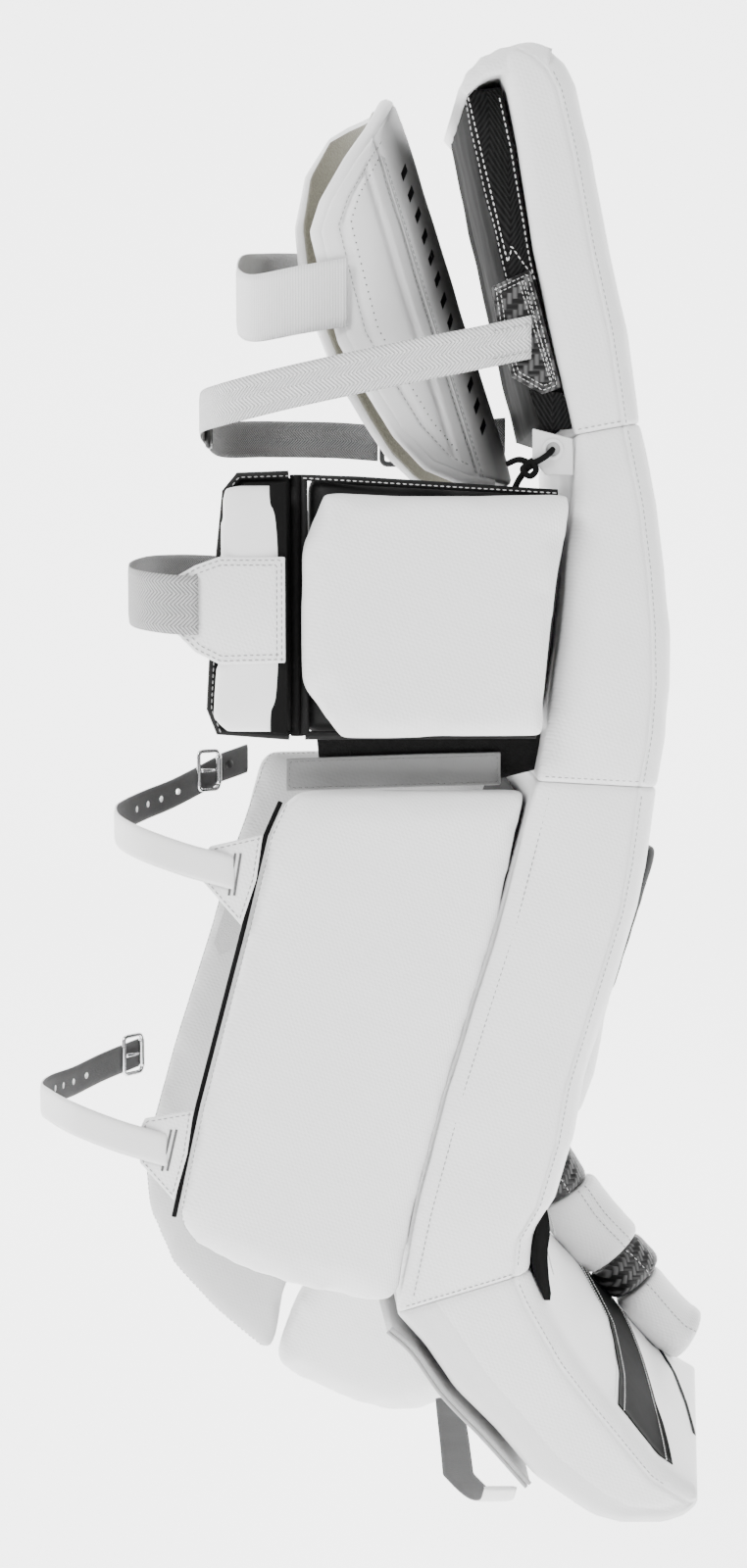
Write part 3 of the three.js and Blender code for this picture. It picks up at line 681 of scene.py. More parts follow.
def build_stitch_row():
    """Short threads at even steps along each curve."""
    g, given, result = geometry_group(
        "Stitch Row",
        [("Spacing", FLOAT), ("Stitch Length", FLOAT), ("Thread Radius", FLOAT),
         ("Thread", "NodeSocketMaterial")],
    )
    places = g.node("GeometryNodeCurveToPoints", mode="LENGTH")
    g.join(given["Geometry"], places.inputs["Curve"])
    g.join(given["Spacing"], places.inputs["Length"])
    thread = g.node("GeometryNodeMeshUVSphere")
    thread.inputs["Segments"].default_value = 6
    thread.inputs["Rings"].default_value = 5
    thread.inputs["Radius"].default_value = 1.0
    aim = g.node("FunctionNodeAlignRotationToVector", axis="Z")
    g.join(places.outputs["Tangent"], aim.inputs["Vector"])
    size = g.node("ShaderNodeCombineXYZ")
    g.join(given["Thread Radius"], size.inputs[0])
    g.join(given["Thread Radius"], size.inputs[1])
    g.put(size.inputs[2], g.math("MULTIPLY", given["Stitch Length"], 0.5))
    copies = g.node("GeometryNodeInstanceOnPoints")
    g.join(places.outputs["Points"], copies.inputs["Points"])
    g.join(thread.outputs["Mesh"], copies.inputs["Instance"])
    g.join(aim.outputs[0], copies.inputs["Rotation"])
    g.join(size.outputs[0], copies.inputs["Scale"])
    real = g.node("GeometryNodeRealizeInstances")
    g.join(copies.outputs[0], real.inputs[0])
    paint = g.node("GeometryNodeSetMaterial")
    g.join(real.outputs[0], paint.inputs["Geometry"])
    g.join(given["Thread"], paint.inputs["Material"])
    g.join(paint.outputs[0], result["Geometry"])


def build_round_cord():
    """A round cord, lace or piping of one radius along each curve."""
    g, given, result = geometry_group(
        "Round Cord", [("Radius", FLOAT), ("Cord", "NodeSocketMaterial")]
    )
    section = g.node("GeometryNodeCurvePrimitiveCircle")
    section.inputs["Resolution"].default_value = 8
    g.join(given["Radius"], section.inputs["Radius"])
    tube = g.node("GeometryNodeCurveToMesh")
    tube.inputs["Fill Caps"].default_value = True
    g.join(given["Geometry"], tube.inputs["Curve"])
    g.join(section.outputs["Curve"], tube.inputs["Profile Curve"])
    smooth = g.node("GeometryNodeSetShadeSmooth")
    g.join(tube.outputs[0], smooth.inputs[0])
    real = g.node("GeometryNodeRealizeInstances")
    g.join(smooth.outputs[0], real.inputs[0])
    paint = g.node("GeometryNodeSetMaterial")
    g.join(real.outputs[0], paint.inputs["Geometry"])
    g.join(given["Cord"], paint.inputs["Material"])
    g.join(paint.outputs[0], result["Geometry"])


build_stitch_row()
build_round_cord()


def curve_object(name, lines):
    data = bpy.data.curves.new(name, "CURVE")
    data.dimensions = "3D"
    for line in lines:
        row = data.splines.new("POLY")
        row.points.add(len(line) - 1)
        for point, place in zip(row.points, line):
            point.co = (place[0] * MM, place[1] * MM, place[2] * MM, 1.0)
    made = bpy.data.objects.new(name, data)
    COLLECTION.objects.link(made)
    return made


def through_group(name, lines, group, values):
    """Runs lines through a geometry node group and keeps the mesh it makes."""
    source = curve_object(name + "_line", lines)
    modifier = source.modifiers.new("repeat", "NODES")
    modifier.node_group = bpy.data.node_groups[group]
    for item in modifier.node_group.interface.items_tree:
        if item.in_out == "INPUT" and item.name in values:
            modifier[item.identifier] = values[item.name]
    made = bake(source)
    made.name = name
    made.data.polygons.foreach_set("use_smooth", np.ones(len(made.data.polygons), bool))
    return made


def stitches(name, lines, thread, spacing=3.6, length=2.5, radius=0.42):
    return through_group(name, lines, "Stitch Row", {
        "Spacing": spacing * MM, "Stitch Length": length * MM, "Thread Radius": radius * MM,
        "Thread": thread,
    })


def cord_mesh(name, lines, radius, material):
    return through_group(name, lines, "Round Cord", {"Radius": radius * MM, "Cord": material})


# ---------------------------------------------------------------- foam sections
BREAK_UPPER = ((145, 107), (107, 100))
BREAK_LOWER = ((157, -107), (86, -103))
BREAK_BOOT = ((84, -402), (3, -427))


def still(p):
    return p


def rise(p):
    """The thigh stands taller towards its outer side."""
    outward = (p[1] + SIDE) / (2 * SIDE)
    return np.array([p[0], p[1], p[2] + max(0.0, p[2] - 107) / 215 * 30 * outward])


def flare(p):
    """The boot turns forward and down towards its outer side."""
    outward = (p[1] + SIDE) / (2 * SIDE)
    below = max(0.0, -402 - p[2])
    share = min(1.0, below / 60)
    return np.array([p[0] + (p[0] - 84) * 0.4 * outward * share, p[1], p[2] - below * 0.2 * outward])


class Section:
    """A padded foam section: a rounded tube of cover between a front and a back line."""

    def __init__(self, front, back, rule=still, face_puff=5.0, side_puff=3.0):
        self.front = front
        self.back = back
        self.rule = rule
        self.face_puff = face_puff
        self.side_puff = side_puff
        self.size = lengths(np.array(front, float))[-1]
        self.front_radius = 10.0
        self.back_radius = 5.0

    def ends(self, t):
        f = along_line(self.front, [t])[0]
        b = along_line(self.back, [t])[0]
        return f, b

    def place(self, t, s, y, out):
        """A point: t down the section, s from back to front, y across, out along its normal."""
        f, b = self.ends(t)
        d = f - b
        size = np.linalg.norm(d)
        d = d / max(size, 1e-6)
        at = b + d * (s + out[0])
        return self.rule(np.array([at[0], y + out[1], at[1]]))

    def swell(self, t, share):
        """Soft crown over a section's length and over one of its walls."""
        length = min(1.0, 4 * t * (1 - t) * 2.2)
        return length**0.5 * (1 - abs(2 * share - 1) ** 3)

    def face_point(self, t, y, lift=0.4):
        f, b = self.ends(t)
        size = np.linalg.norm(f - b)
        crown = self.face_puff * self.swell(t, (y + SIDE) / (2 * SIDE))
        return self.place(t, size, y, (crown + lift, 0.0))

    def side_point(self, t, gap, side=-1, lift=0.4):
        """A point on a side wall, at a gap in mm from the front edge."""
        f, b = self.ends(t)
        size = np.linalg.norm(f - b)
        s = size - gap
        crown = self.side_puff * self.swell(t, s / size)
        return self.place(t, s, side * (SIDE + crown + lift), (0.0, 0.0))

    def loop(self, size, edge_seam, strip):
        """Around one station: (s, y, normal, wall, groove)."""
        rf, rb, h = self.front_radius, min(self.back_radius, size * 0.3), SIDE
        rf = min(rf, size * 0.45)
        gaps = [g for g in (edge_seam - 2.4, edge_seam - 1.0, edge_seam, edge_seam + 1.0, edge_seam + 2.4)]
        inner = size - rf
        line = [rb]
        low = size - gaps[-1]
        for k in range(1, 10):
            line.append(rb + (max(low, rb + 1) - rb) * k / 10)
        line += [max(min(size - g, inner - 0.1), rb + 1.2) for g in reversed(gaps)]
        line.append(inner)
        line = sorted(line)
        spots = []
        for s in line:
            depth = 1.8 * math.exp(-(((size - s) - edge_seam) / 1.1) ** 2)
            if strip:
                depth += 1.2 * math.exp(-((s - strip) / 1.4) ** 2)
            spots.append((s, -h, (0.0, -1.0), "side", depth))
        for k in range(1, 5):
            a = -math.pi / 2 + k / 5 * math.pi / 2
            spots.append((size - rf + rf * math.cos(a), -h + rf + rf * math.sin(a),
                          (math.cos(a), math.sin(a)), "corner", 0.0))
        for k in range(0, 29):
            spots.append((size, -h + rf + (2 * h - 2 * rf) * k / 28, (1.0, 0.0), "face", 0.0))
        for k in range(1, 5):
            a = k / 5 * math.pi / 2
            spots.append((size - rf + rf * math.cos(a), h - rf + rf * math.sin(a),
                          (math.cos(a), math.sin(a)), "corner", 0.0))
        for s, y, normal, wall, depth in reversed(spots[: len(line)]):
            spots.append((s, h, (0.0, 1.0), wall, depth))
        for k in range(1, 4):
            a = math.pi / 2 + k / 4 * math.pi / 2
            spots.append((rb + rb * math.cos(a), h - rb + rb * math.sin(a),
                          (math.cos(a), math.sin(a)), "corner", 0.0))
        for k in range(0, 15):
            spots.append((0.0, h - rb - (2 * h - 2 * rb) * k / 14, (-1.0, 0.0), "back", 0.0))
        for k in range(1, 4):
            a = math.pi + k / 4 * math.pi / 2
            spots.append((rb + rb * math.cos(a), -h + rb + rb * math.sin(a),
                          (math.cos(a), math.sin(a)), "corner", 0.0))
        return spots

    def skin(self, name, materials, edge_seam=12.0, strip=0.0, round_top=2.4, round_low=2.4, pick=None):
        stations = 46
        close = [0.0, 0.5, 1.4, 2.8, 5.0]
        shares = [c / self.size for c in close]
        shares += list(np.linspace(9.0 / self.size, 1 - 9.0 / self.size, stations))
        shares += [1 - c / self.size for c in reversed(close)]
        points = []
        picks = []
        around = 0
        for t in shares:
            f, b = self.ends(t)
            size = np.linalg.norm(f - b)
            spots = self.loop(size, edge_seam, strip)
            around = len(spots)
            from_top, from_low = t * self.size, (1 - t) * self.size
            for s, y, normal, wall, depth in spots:
                share = s / size if wall == "side" else (y + SIDE) / (2 * SIDE)
                puff = {"side": self.side_puff, "face": self.face_puff, "back": 0.0, "corner": 0.0}[wall]
                out = puff * self.swell(t, share) - depth
                for gap, radius in ((from_top, round_top), (from_low, round_low)):
                    if gap < radius:
                        out -= radius - math.sqrt(max(0.0, radius**2 - (radius - gap) ** 2))
                shape = self.place(t, s, y, (normal[0] * out, normal[1] * out))
                ripple = noise.noise(Vector(shape) / 42.0) * 0.9 + noise.noise(Vector(shape) / 17.0) * 0.25
                points.append(self.place(t, s, y, (normal[0] * (out + ripple), normal[1] * (out + ripple))))
        faces = rings_to_faces(len(shares), around)
        for face in faces:
            picks.append(pick(face, around) if pick and len(face) == 4 else 0)
        return mesh_from(name, points, faces, materials, picks)


thigh = Section(
    [(78, 322), (90, 319), (99, 311), (105, 299), (114, 264), (125, 208), (136, 161), BREAK_UPPER[0]],
    [(66, 320), (61, 312), (62, 306), (66, 297), (73, 264), (82, 208), (94, 155), BREAK_UPPER[1]],
    rise,
)
knee = Section(
    [BREAK_UPPER[0], (155, 60), (160, 22), (163, -12), (164, -46), (162, -75), BREAK_LOWER[0]],
    [BREAK_UPPER[1], (107, 65), (103, 34), (99, -12), (94, -55), BREAK_LOWER[1]],
)
shin = Section(
    [BREAK_LOWER[0], (151, -154), (146, -181), (132, -228), (115, -285),
     (109, -320), (98, -358), (86, -378), BREAK_BOOT[0]],
    [BREAK_LOWER[1], (64, -192), (35, -288), (15, -366), BREAK_BOOT[1]],
)
boot_front = [BREAK_BOOT[0], (90, -416), (110, -452), (127, -475), (143, -495), (162, -520), (187, -538)]
boot_back = [BREAK_BOOT[1], (19, -446), (38, -473), (63, -500), (88, -530), (108, -544), (124, -555),
             (140, -560), (166, -560), (180, -555), (187, -547)]
boot = Section(boot_front, boot_back, flare, face_puff=4.0, side_puff=2.5)

EDGE_SEAM = 11.0
thigh_skin = thigh.skin("thigh_cover", [white], EDGE_SEAM, round_top=5.0)
knee_skin = knee.skin("knee_cover", [white], EDGE_SEAM)
shin_skin = shin.skin("shin_cover", [white], EDGE_SEAM)


def boot_pick(face, around):
    """The wrapped strip along the boot's underside is a greyer cover."""
    index = face[0] % around
    return 1 if index < 3 or index >= around - 22 else 0


boot_skin = boot.skin("boot_cover", [white, pale], EDGE_SEAM, strip=11.0, pick=boot_pick)


def section_threads(name, part, start, end, gap=EDGE_SEAM - 2.2):
    """Threads beside the front edge seam, on both side walls."""
    lines = []
    for side in (-1, 1):
        lines.append([part.side_point(t, gap, side, 0.1) for t in np.linspace(start, end, 60)])
    return stitches(name, lines, thread_pale, radius=0.34)


def break_threads(name, part, t, gap_low, gap_high):
    """A row across both side walls and the face, just by a break."""
    lines = []
    for side in (-1, 1):
        lines.append([part.side_point(t, g, side, 0.0) for g in np.linspace(gap_low, gap_high, 16)])
    lines.append([part.face_point(t, y, 0.0) for y in np.linspace(-124, 124, 50)])
    return stitches(name, lines, thread_pale, radius=0.34)


def wing_seam_threads():
    """A row on both side walls of the shin, by the seam that the calf wings hang on."""
    lines = []
    for side in (-1, 1):
        line = []
        for t in np.linspace(0.03, 0.97, 60):
            f, b = shin.ends(t)
            line.append(shin.side_point(t, np.linalg.norm(f - b) - 9.0, side, 0.0))
        lines.append(line)
    return stitches("wing_seam", lines, thread_pale, radius=0.36)


thigh_threads = join_objects("thigh_threads", [
    section_threads("a", thigh, 0.12, 0.99), break_threads("b", thigh, 0.988, 13, 36)])
knee_threads = join_objects("knee_threads", [
    section_threads("a", knee, 0.02, 0.98), break_threads("b", knee, 0.984, 13, 66)])
shin_threads = join_objects("shin_threads", [
    section_threads("a", shin, 0.02, 0.97), break_threads("b", shin, 0.99, 13, 78), wing_seam_threads()])

# Boot threads: beside the front edge seam, on both side walls
boot_lines = [[boot.side_point(t, EDGE_SEAM - 2.2, side, 0.1) for t in np.linspace(0.03, 0.86, 60)]
              for side in (-1, 1)]
boot_threads = stitches("boot_threads", boot_lines, thread_pale, radius=0.34)


# ---------------------------------------------------------------- patches on the boot face
def face_patch(name, part, left, right, material, lift=0.5, rows=40, columns=6, thick=1.0):
    """A thin inlay between two lines given as (share down the section, y)."""
    a = along_line(left, np.linspace(0, 1, rows))
    b = along_line(right, np.linspace(0, 1, rows))
    points = []
    for low in (lift, lift - thick):
        for i in range(rows):
            for j in range(columns + 1):
                t, y = a[i] + (b[i] - a[i]) * j / columns
                points.append(part.face_point(min(t, 1.0), y, low))
    faces = []
    wide = columns + 1
    count = rows * wide
    for i in range(rows - 1):
        for j in range(columns):
            k = i * wide + j
            faces.append((k, k + 1, k + wide + 1, k + wide))
            faces.append((count + k, count + k + wide, count + k + wide + 1, count + k + 1))
    rim = [i * wide for i in range(rows)] + [(rows - 1) * wide + j for j in range(1, wide)]
    rim += [i * wide + columns for i in range(rows - 2, -1, -1)] + list(range(columns - 1, 0, -1))
    for k, one in enumerate(rim):
        two = rim[(k + 1) % len(rim)]
        faces.append((one, count + one, count + two, two))
    return mesh_from(name, points, faces, [material])


def face_threads(name, part, lines, thread, lift=0.7, **sizes):
    steps = np.linspace(0, 1, 60)
    rows = [[part.face_point(t, y, lift) for t, y in along_line(line, steps)] for line in lines]
    return stitches(name, rows, thread, **sizes)


stripe_left = [(0.43, 129), (0.50, 75), (0.57, 30), (0.60, -65), (0.59, -129)]
stripe_right = [(0.60, 129), (0.68, 105), (0.76, 30), (0.85, -70), (0.875, -105), (0.89, -129)]
boot_stripe = face_patch("boot_stripe", boot, stripe_left, stripe_right, black_smooth, lift=0.9)


def inset(line, other, share):
    a = along_line(line, np.linspace(0, 1, 30))
    b = along_line(other, np.linspace(0, 1, 30))
    return a + (b - a) * share


stripe_threads = face_threads(
    "boot_stripe_threads", boot,
    [inset(stripe_left, stripe_right, 0.1), inset(stripe_left, stripe_right, -0.09),
     inset(stripe_right, stripe_left, 0.1)],
    thread_white, lift=1.2, radius=0.42)
thin_line = [(0.80, 129), (0.845, 118), (0.905, 70), (0.95, 20), (0.985, -35)]
boot_line = face_patch("boot_thin_line", boot, thin_line, [(t + 0.012, y + 1) for t, y in thin_line],
                       black_smooth, lift=0.7, columns=2)


# Black gusset across the front of the boot break
def make_gusset():
    path = spline([(93, -362), (91.5, -378), (89, -392), (91, -406), (97, -421)], 14)
    points = []
    ys = np.linspace(-133, 133, 40)
    for y in ys:
        ring = []
        for k in range(14):
            share = k / 13
            bulge = 6.5 * math.sin(math.pi * share) ** 0.6
            bulge += 0.9 * noise.noise(Vector((y / 30, share * 3, 1)))
            ring.append((path[k][0] + bulge * 0.9, y, path[k][1] + bulge * 0.12))
        for k in reversed(range(14)):
            ring.append((path[k][0] - 4.0, y, path[k][1]))
        points.extend(ring)
    return mesh_from("boot_gusset", points, rings_to_faces(len(ys), 28), [black_smooth])


gusset = make_gusset()
gusset_threads = stitches("boot_gusset_threads", [
    [(99.4, y, -380) for y in np.linspace(-131, 131, 60)],
    [(98.6, y, -405) for y in np.linspace(-131, 131, 60)]], thread_white)


# ---------------------------------------------------------------- thigh: hood, liner, anchor
def make_hood():
    """The top of the cover, pulled back over the liner and gathered in soft folds."""
    outer = spline([(38, 297), (44, 308), (55, 317), (68, 321.5), (80, 323.5), (92, 320)], 22)
    inner = spline([(43, 293), (50, 300), (58, 304), (68, 305), (78, 306), (88, 306)], 22)
    points = []
    ys = np.linspace(-141, 141, 60)
    for y in ys:
        ring = []
        edge = max(0.0, 1 - (SIDE + 1.2 - abs(y)) / 9.0)
        tuck = 9.0 * (1 - math.sqrt(max(0.0, 1 - edge**2)))
        for k in range(22):
            share = k / 21
            fold = 0.9 * math.sin(share * 34 + 0.03 * y + 2.2 * noise.noise(Vector((y / 60, share * 2, 0))))
            fold *= max(0.0, 1 - abs(share - 0.35) * 2.6)
            way = outer[k] - inner[k]
            way = way / np.linalg.norm(way)
            at = outer[k] + way * (fold * 0.8 - tuck)
            ring.append(rise(np.array([at[0], y, at[1]])))
        for k in reversed(range(22)):
            ring.append(rise(np.array([inner[k][0], y, inner[k][1]])))
        points.extend(ring)
    return mesh_from("thigh_hood", points, rings_to_faces(len(ys), 44), [white])


hood = make_hood()

liner_rear = [(90, 112), (80, 150), (71, 183), (52, 257), (42, 297)]
liner_front = [(104, 108), (92, 155), (80.5, 208), (71, 264), (63, 299)]


def make_liner():
    """The black padded lining behind the thigh: ribbed sides, smooth back, padded edge."""
    points = []
    picks_rows = []
    zs = 44
    for i in range(zs):
        t = i / (zs - 1)
        f = along_line(liner_front, [1 - t])[0]
        b = along_line(liner_rear, [1 - t])[0]
        ring = []
        shape = []
        for k in range(9):
            shape.append((k / 8, -128, (0, -1)))
        for k in range(1, 4):
            shape.append((1.0, -128 + 256 * k / 4, (0, 0)))
        for k in range(9):
            shape.append((1 - k / 8, 128, (0, 1)))
        for k in range(1, 32):
            shape.append((0.0, 128 - 256 * k / 32, (-1, 0)))
        for share, y, normal in shape:
            end = (4 * t * (1 - t)) ** 0.3
            if normal[1]:
                out = 2.6 * math.sin(math.pi * (0.12 + 0.8 * share)) * end - 2.0
                p = [b[0] + (f[0] - b[0]) * share, y + normal[1] * out, b[1] + (f[1] - b[1]) * share]
            else:
                welt = 2.4 * math.exp(-((abs(y) - 112) / 6) ** 2)
                out = (1.5 * (1 - (y / 128) ** 2) + welt) * end - 1.0
                p = [b[0] - out * abs(normal[0]) + (f[0] - b[0]) * share, y, b[1] + (f[1] - b[1]) * share]
            dent = 1.1 * noise.noise(Vector(p) / 26.0)
            p[0] -= dent * abs(normal[0])
            p[1] += dent * normal[1]
            ring.append(rise(np.array(p)))
        points.extend(ring)
        around = len(ring)
        picks_rows.append(around)
    faces = rings_to_faces(zs, picks_rows[0])
    picks = []
    for face in faces:
        index = face[0] % picks_rows[0]
        low = face[0] // picks_rows[0] > 24
        side_wall = index < 8 or 12 <= index < 20
        picks.append(0 if side_wall and not low and len(face) == 4 else 1)
    return mesh_from("thigh_liner", points, faces, [ribbed, black_smooth], picks)


liner = make_liner()
liner_tree = surface_of(liner)


def across_liner(t, share):
    f = along_line(liner_front, [1 - t])[0]
    b = along_line(liner_rear, [1 - t])[0]
    return (b[0] + (f[0] - b[0]) * share, -128.0, b[1] + (f[1] - b[1]) * share)


liner_marks = [
    [across_liner(t, 0.06) for t in np.linspace(0.02, 0.52, 40)]
    + [across_liner(t, share) for t, share in ((0.49, 0.25), (0.47, 0.32), (0.52, 0.62), (0.56, 0.92))],
    [across_liner(t, 0.9) for t in np.linspace(0.03, 0.56, 40)],
]
liner_threads = stitches(
    "thigh_liner_threads",
    [press_on(liner_tree, along_line(line, np.linspace(0, 1, 90)), (0, 1, 0), 0.3) for line in liner_marks]
    + [press_on(liner_tree, [tuple(rise(np.array((b[0], side * 116.0, b[1]))))
                             for b in along_line(liner_rear, np.linspace(0.35, 0.97, 60))], (1, 0, 0), 0.3)
       for side in (-1, 1)],
    thread_white)


def flat_tab(name, points, low, high, material, rounding=1.0):
    tab = outline_prism(name, points, low, high, material, rounding)
    tab.data.polygons.foreach_set("use_smooth", np.ones(len(tab.data.polygons), bool))
    return tab


def shrink(points, distance):
    """An outline moved inwards, for a row of stitching."""
    p = np.array(points, float)
    before = np.roll(p, 1, axis=0)
    after = np.roll(p, -1, axis=0)
    one = p - before
    two = after - p
    one /= np.linalg.norm(one, axis=1, keepdims=True)
    two /= np.linalg.norm(two, axis=1, keepdims=True)
    normal = np.stack([-(one[:, 1] + two[:, 1]), one[:, 0] + two[:, 0]], axis=1)
    normal /= np.linalg.norm(normal, axis=1, keepdims=True)
    cosine = np.abs(normal[:, 0] * -one[:, 1] + normal[:, 1] * one[:, 0])
    area = np.sum(p[:, 0] * after[:, 1] - after[:, 0] * p[:, 1])
    sign = 1 if area > 0 else -1
    return p + normal * sign * (distance / np.maximum(cosine, 0.5))[:, None]


def closed(points):
    return np.vstack([points, points[:1]])


def edge_rows(name, points, y, insets, thread=None, skip=None, **sizes):
    """Rows of stitching inside an outline, on a flat face at y."""
    rows = []
    for gap in insets:
        line = closed(shrink(points, gap))
        if skip:
            line = line[skip[0] : skip[1]]
        line = along_line(line, np.linspace(0, 1, 120))
        rows.append([(x, y, z) for x, z in line])
    return stitches(name, rows, thread or thread_white, **sizes)


anchor_shape = [(58, 186), (80, 196), (86, 176), (93, 150), (99, 128), (88, 124), (70, 134), (62, 160)]
anchor = flat_tab("thigh_anchor", anchor_shape, -130.8, -128.3, carbon, 0.8)
FINE_STITCH = {"radius": 0.26, "length": 2.0, "spacing": 2.8}
anchor_threads = edge_rows("thigh_anchor_threads", anchor_shape, -131.0, [2.2, 4.6], **FINE_STITCH)
thigh_elastic_shape = [(80, 127), (100, 125), (106, 104), (88, 103)]
thigh_elastic = flat_tab("thigh_elastic", thigh_elastic_shape, -130.2, -128.6, ribbed)
anchor_cross = stitches("thigh_anchor_cross", [
    [(74, -131.0, 188), (92, -131.0, 133)], [(76, -131.0, 188), (94, -131.0, 134)]], thread_white,
    **FINE_STITCH)


# ---------------------------------------------------------------- knee: cradle, landing, wing
cradle_shape = [(106.7, 70), (102.7, 34), (98.7, -12), (93.7, -55), (90.2, -70),
                (60, -72), (52, -40), (54, 40), (62, 72)]
cradle = stuff(outline_prism("knee_cradle_pad", cradle_shape, -106, 106, black_lining, 8), 8, cap=3)

core_shape = [(-55, -79), (-55, 79), (-20, 77), (98, 70), (100, 30), (95, -12), (90, -55), (86, -79)]
landing_core = stuff(
    outline_prism("landing_core", shrink(core_shape, 2.0), -143.5, -114.5, edge_black, 4), 6, cap=3.5)
pad_shape = [(-54, 33), (-54, -45), (-41, -65), (-31, -77), (88, -77), (103, 64), (99, 67), (-40, 67)]
landing_pad = stuff(
    outline_prism("landing_pad", shrink(pad_shape, 0.6), -163.5, -146.5, white, 4), 5, cap=2.6)
wing_shape = [(-57, -79), (-57, 80), (-91, 79), (-100, 68), (-106, 10), (-110, -60), (-104, -76)]
knee_wing = stuff(
    outline_prism("knee_wing_pad", shrink(wing_shape, 1.4), -144.5, -120.5, edge_black, 4), 5, cap=3)
pillow_shape = [(-60, 72), (-94, 72), (-100, 67), (-104, -12), (-106, -66), (-98, -74), (-60, -74)]
pillow = stuff(
    outline_prism("knee_pillow", shrink(pillow_shape, 0.8), -156.5, -147, smooth_white, 4), 4, cap=3.5)
binding = cord_mesh("landing_binding", [
    [(x, -144.6, z) for x, z in closed(shrink(core_shape, 3.8))]], 2.6, edge_black)
wing_binding = cord_mesh("knee_wing_binding", [
    [(x, -144.4, z) for x, z in closed(shrink(wing_shape, 3.4))[1:]]], 2.6, edge_black)
binding_threads = join_objects("landing_threads", [
    stitches("a", [[(x, -147.4, z)
                    for x, z in along_line(shrink(core_shape, 4.2)[1:4], np.linspace(0, 1, 60))]],
             thread_white, radius=0.36)])
wing_threads = stitches("knee_wing_threads", [
    [(x, -147.3, z) for x, z in along_line(shrink(wing_shape, 4.0)[1:], np.linspace(0, 1, 90))]],
    thread_pale, radius=0.4)
wing_hinge_line = [(-56, -138, z) for z in np.linspace(-76, 77, 30)]
wing_hinge = cord_mesh("knee_wing_hinge", [wing_hinge_line], 4.0, edge_black)
skirt = flat_tab("knee_skirt", [(-46, -74), (92, -74), (88, -99), (60, -106), (-10, -104), (-44, -96)],
                 -104, -101.5, black_lining, 0.8)
# A black strip laid over the pillow's edge beside the landing pad: painted shadow cast by the thicker landing
# pad.
shade_shape = [(-71, -73), (-71, 71), (-61, 72), (-61, -74)]
shade = flat_tab("pillow_painted_shadow", shade_shape, -157.4, -154.5, black_smooth, 0.8)
knee_tab_shape = [(-62, -32), (-62, 29), (-100, 29), (-114, 24),
                  (-126, 17), (-126, -14), (-114, -26), (-100, -33)]
knee_tab = flat_tab("knee_tab", knee_tab_shape, -161.1, -158.6, white, 1.0)
knee_tab_threads = edge_rows("knee_tab_threads", knee_tab_shape, -161.3, [2.0, 4.8], thread_pale, radius=0.34)

outer_wing_shape = [(105, 70), (101, 34), (97, -12), (92, -55), (89, -72),
                    (-84, -74), (-98, -60), (-102, 0), (-96, 58), (-82, 72)]
outer_knee_wing = stuff(
    outline_prism("outer_knee_pad", shrink(outer_wing_shape, 3), 119.5, 137.5, grey, 6), 6, cap=4)


# ---------------------------------------------------------------- calf: liner, wings, tabs
def seam_x(z):
    return 86 + (z + 103) * (86 - 3) / (427 - 103)


def swelling(direction):
    def rule(p):
        away = max(0.0, seam_x(p[2]) - p[0])
        if abs(p[1]) > 130:
            p[1] += direction * 10.0 * min(1.0, away / 60)
        return p
    return rule


calf_front = [(84, -110), (64, -192), (35, -288), (15, -366), (7, -402)]
calf_back = [(72, -112), (52, -195), (23, -291), (3, -369), (-5, -402)]
calf_shape = [(x - 0.5, z) for x, z in calf_front] + [(x, z) for x, z in reversed(calf_back)]
calf_liner = stuff(outline_prism("calf_lining", calf_shape, -110, 110, black_lining, 4), 7, cap=3)


def at_seam(points, count):
    """The last points, along the seam, go up to the shin's side wall."""
    moved = np.array(points, float)
    moved[-count:, 0] += 4.5 * np.clip((-112 - moved[-count:, 1]) / 50, 0, 1)
    return moved


seam_line = [(2, -426), (14, -366), (34, -288), (63, -192), (85, -104)]
medial_shape = [(-55, -104), (-67, -114), (-76, -134), (-89, -188), (-118, -299), (-133, -368),
                (-124, -385), (-94, -402), (-59, -414), (-12, -426)] + seam_line
medial_wing = stuff(
    outline_prism(
        "calf_wing_inner", at_seam(shrink(medial_shape, 2.0), 5), -138.5, -119.5, white, 6, swelling(-1)),
    6, cap=3.2)
medial_tree = surface_of(medial_wing)
medial_threads = stitches("calf_wing_threads", [
    press_on(
        medial_tree,
        [(x, -145, z) for x, z in along_line(shrink(medial_shape, 5.5)[1:9], np.linspace(0, 1, 150))],
        (0, 1, 0), 0.25)], thread_pale, radius=0.3)
medial_piping = cord_mesh("calf_wing_piping", [
    [(x - 1.0, -136.0, z)
     for x, z in along_line(shrink(medial_shape, 2.2)[1:6], np.linspace(0, 1, 60))]], 1.5,
    black_smooth)

lateral_shape = [
    (-54, -101), (-88, -102), (-95, -113), (-108, -152), (-119, -181), (-133, -231),
    (-161, -319), (-179, -385), (-183, -407), (-180, -442), (-163, -484), (-131, -521), (-89, -556),
    (-75, -509), (-56, -470), (-32, -436), (-2, -412), (7, -400)] + seam_line[1:]
lateral_wing = stuff(
    outline_prism(
        "calf_wing_outer", at_seam(shrink(lateral_shape, 1.2), 4), 119.5, 138.5, grey, 4, swelling(1)),
    7, cap=4)
lateral_tree = surface_of(lateral_wing)
ankle_shape = [(-70, -509), (-86, -557), (-68, -571), (-26, -590), (-1, -597), (25, -596), (39, -590),
               (76, -566), (48, -531), (22, -505), (0, -476), (-20, -446), (-47, -473)]
ankle_wing = stuff(outline_prism("ankle_pad", shrink(ankle_shape, 0.9), 119.5, 147, white, 4), 6, cap=4)
felt_shape = [(-128, -210), (-100, -196), (-88, -236), (-122, -252), (-136, -240)]
felt_patch = mesh_from("felt_patch", press_on(lateral_tree, [
    (x, 100, z) for x, z in felt_shape], (0, 1, 0), 0.8), [tuple(range(5))], [felt])
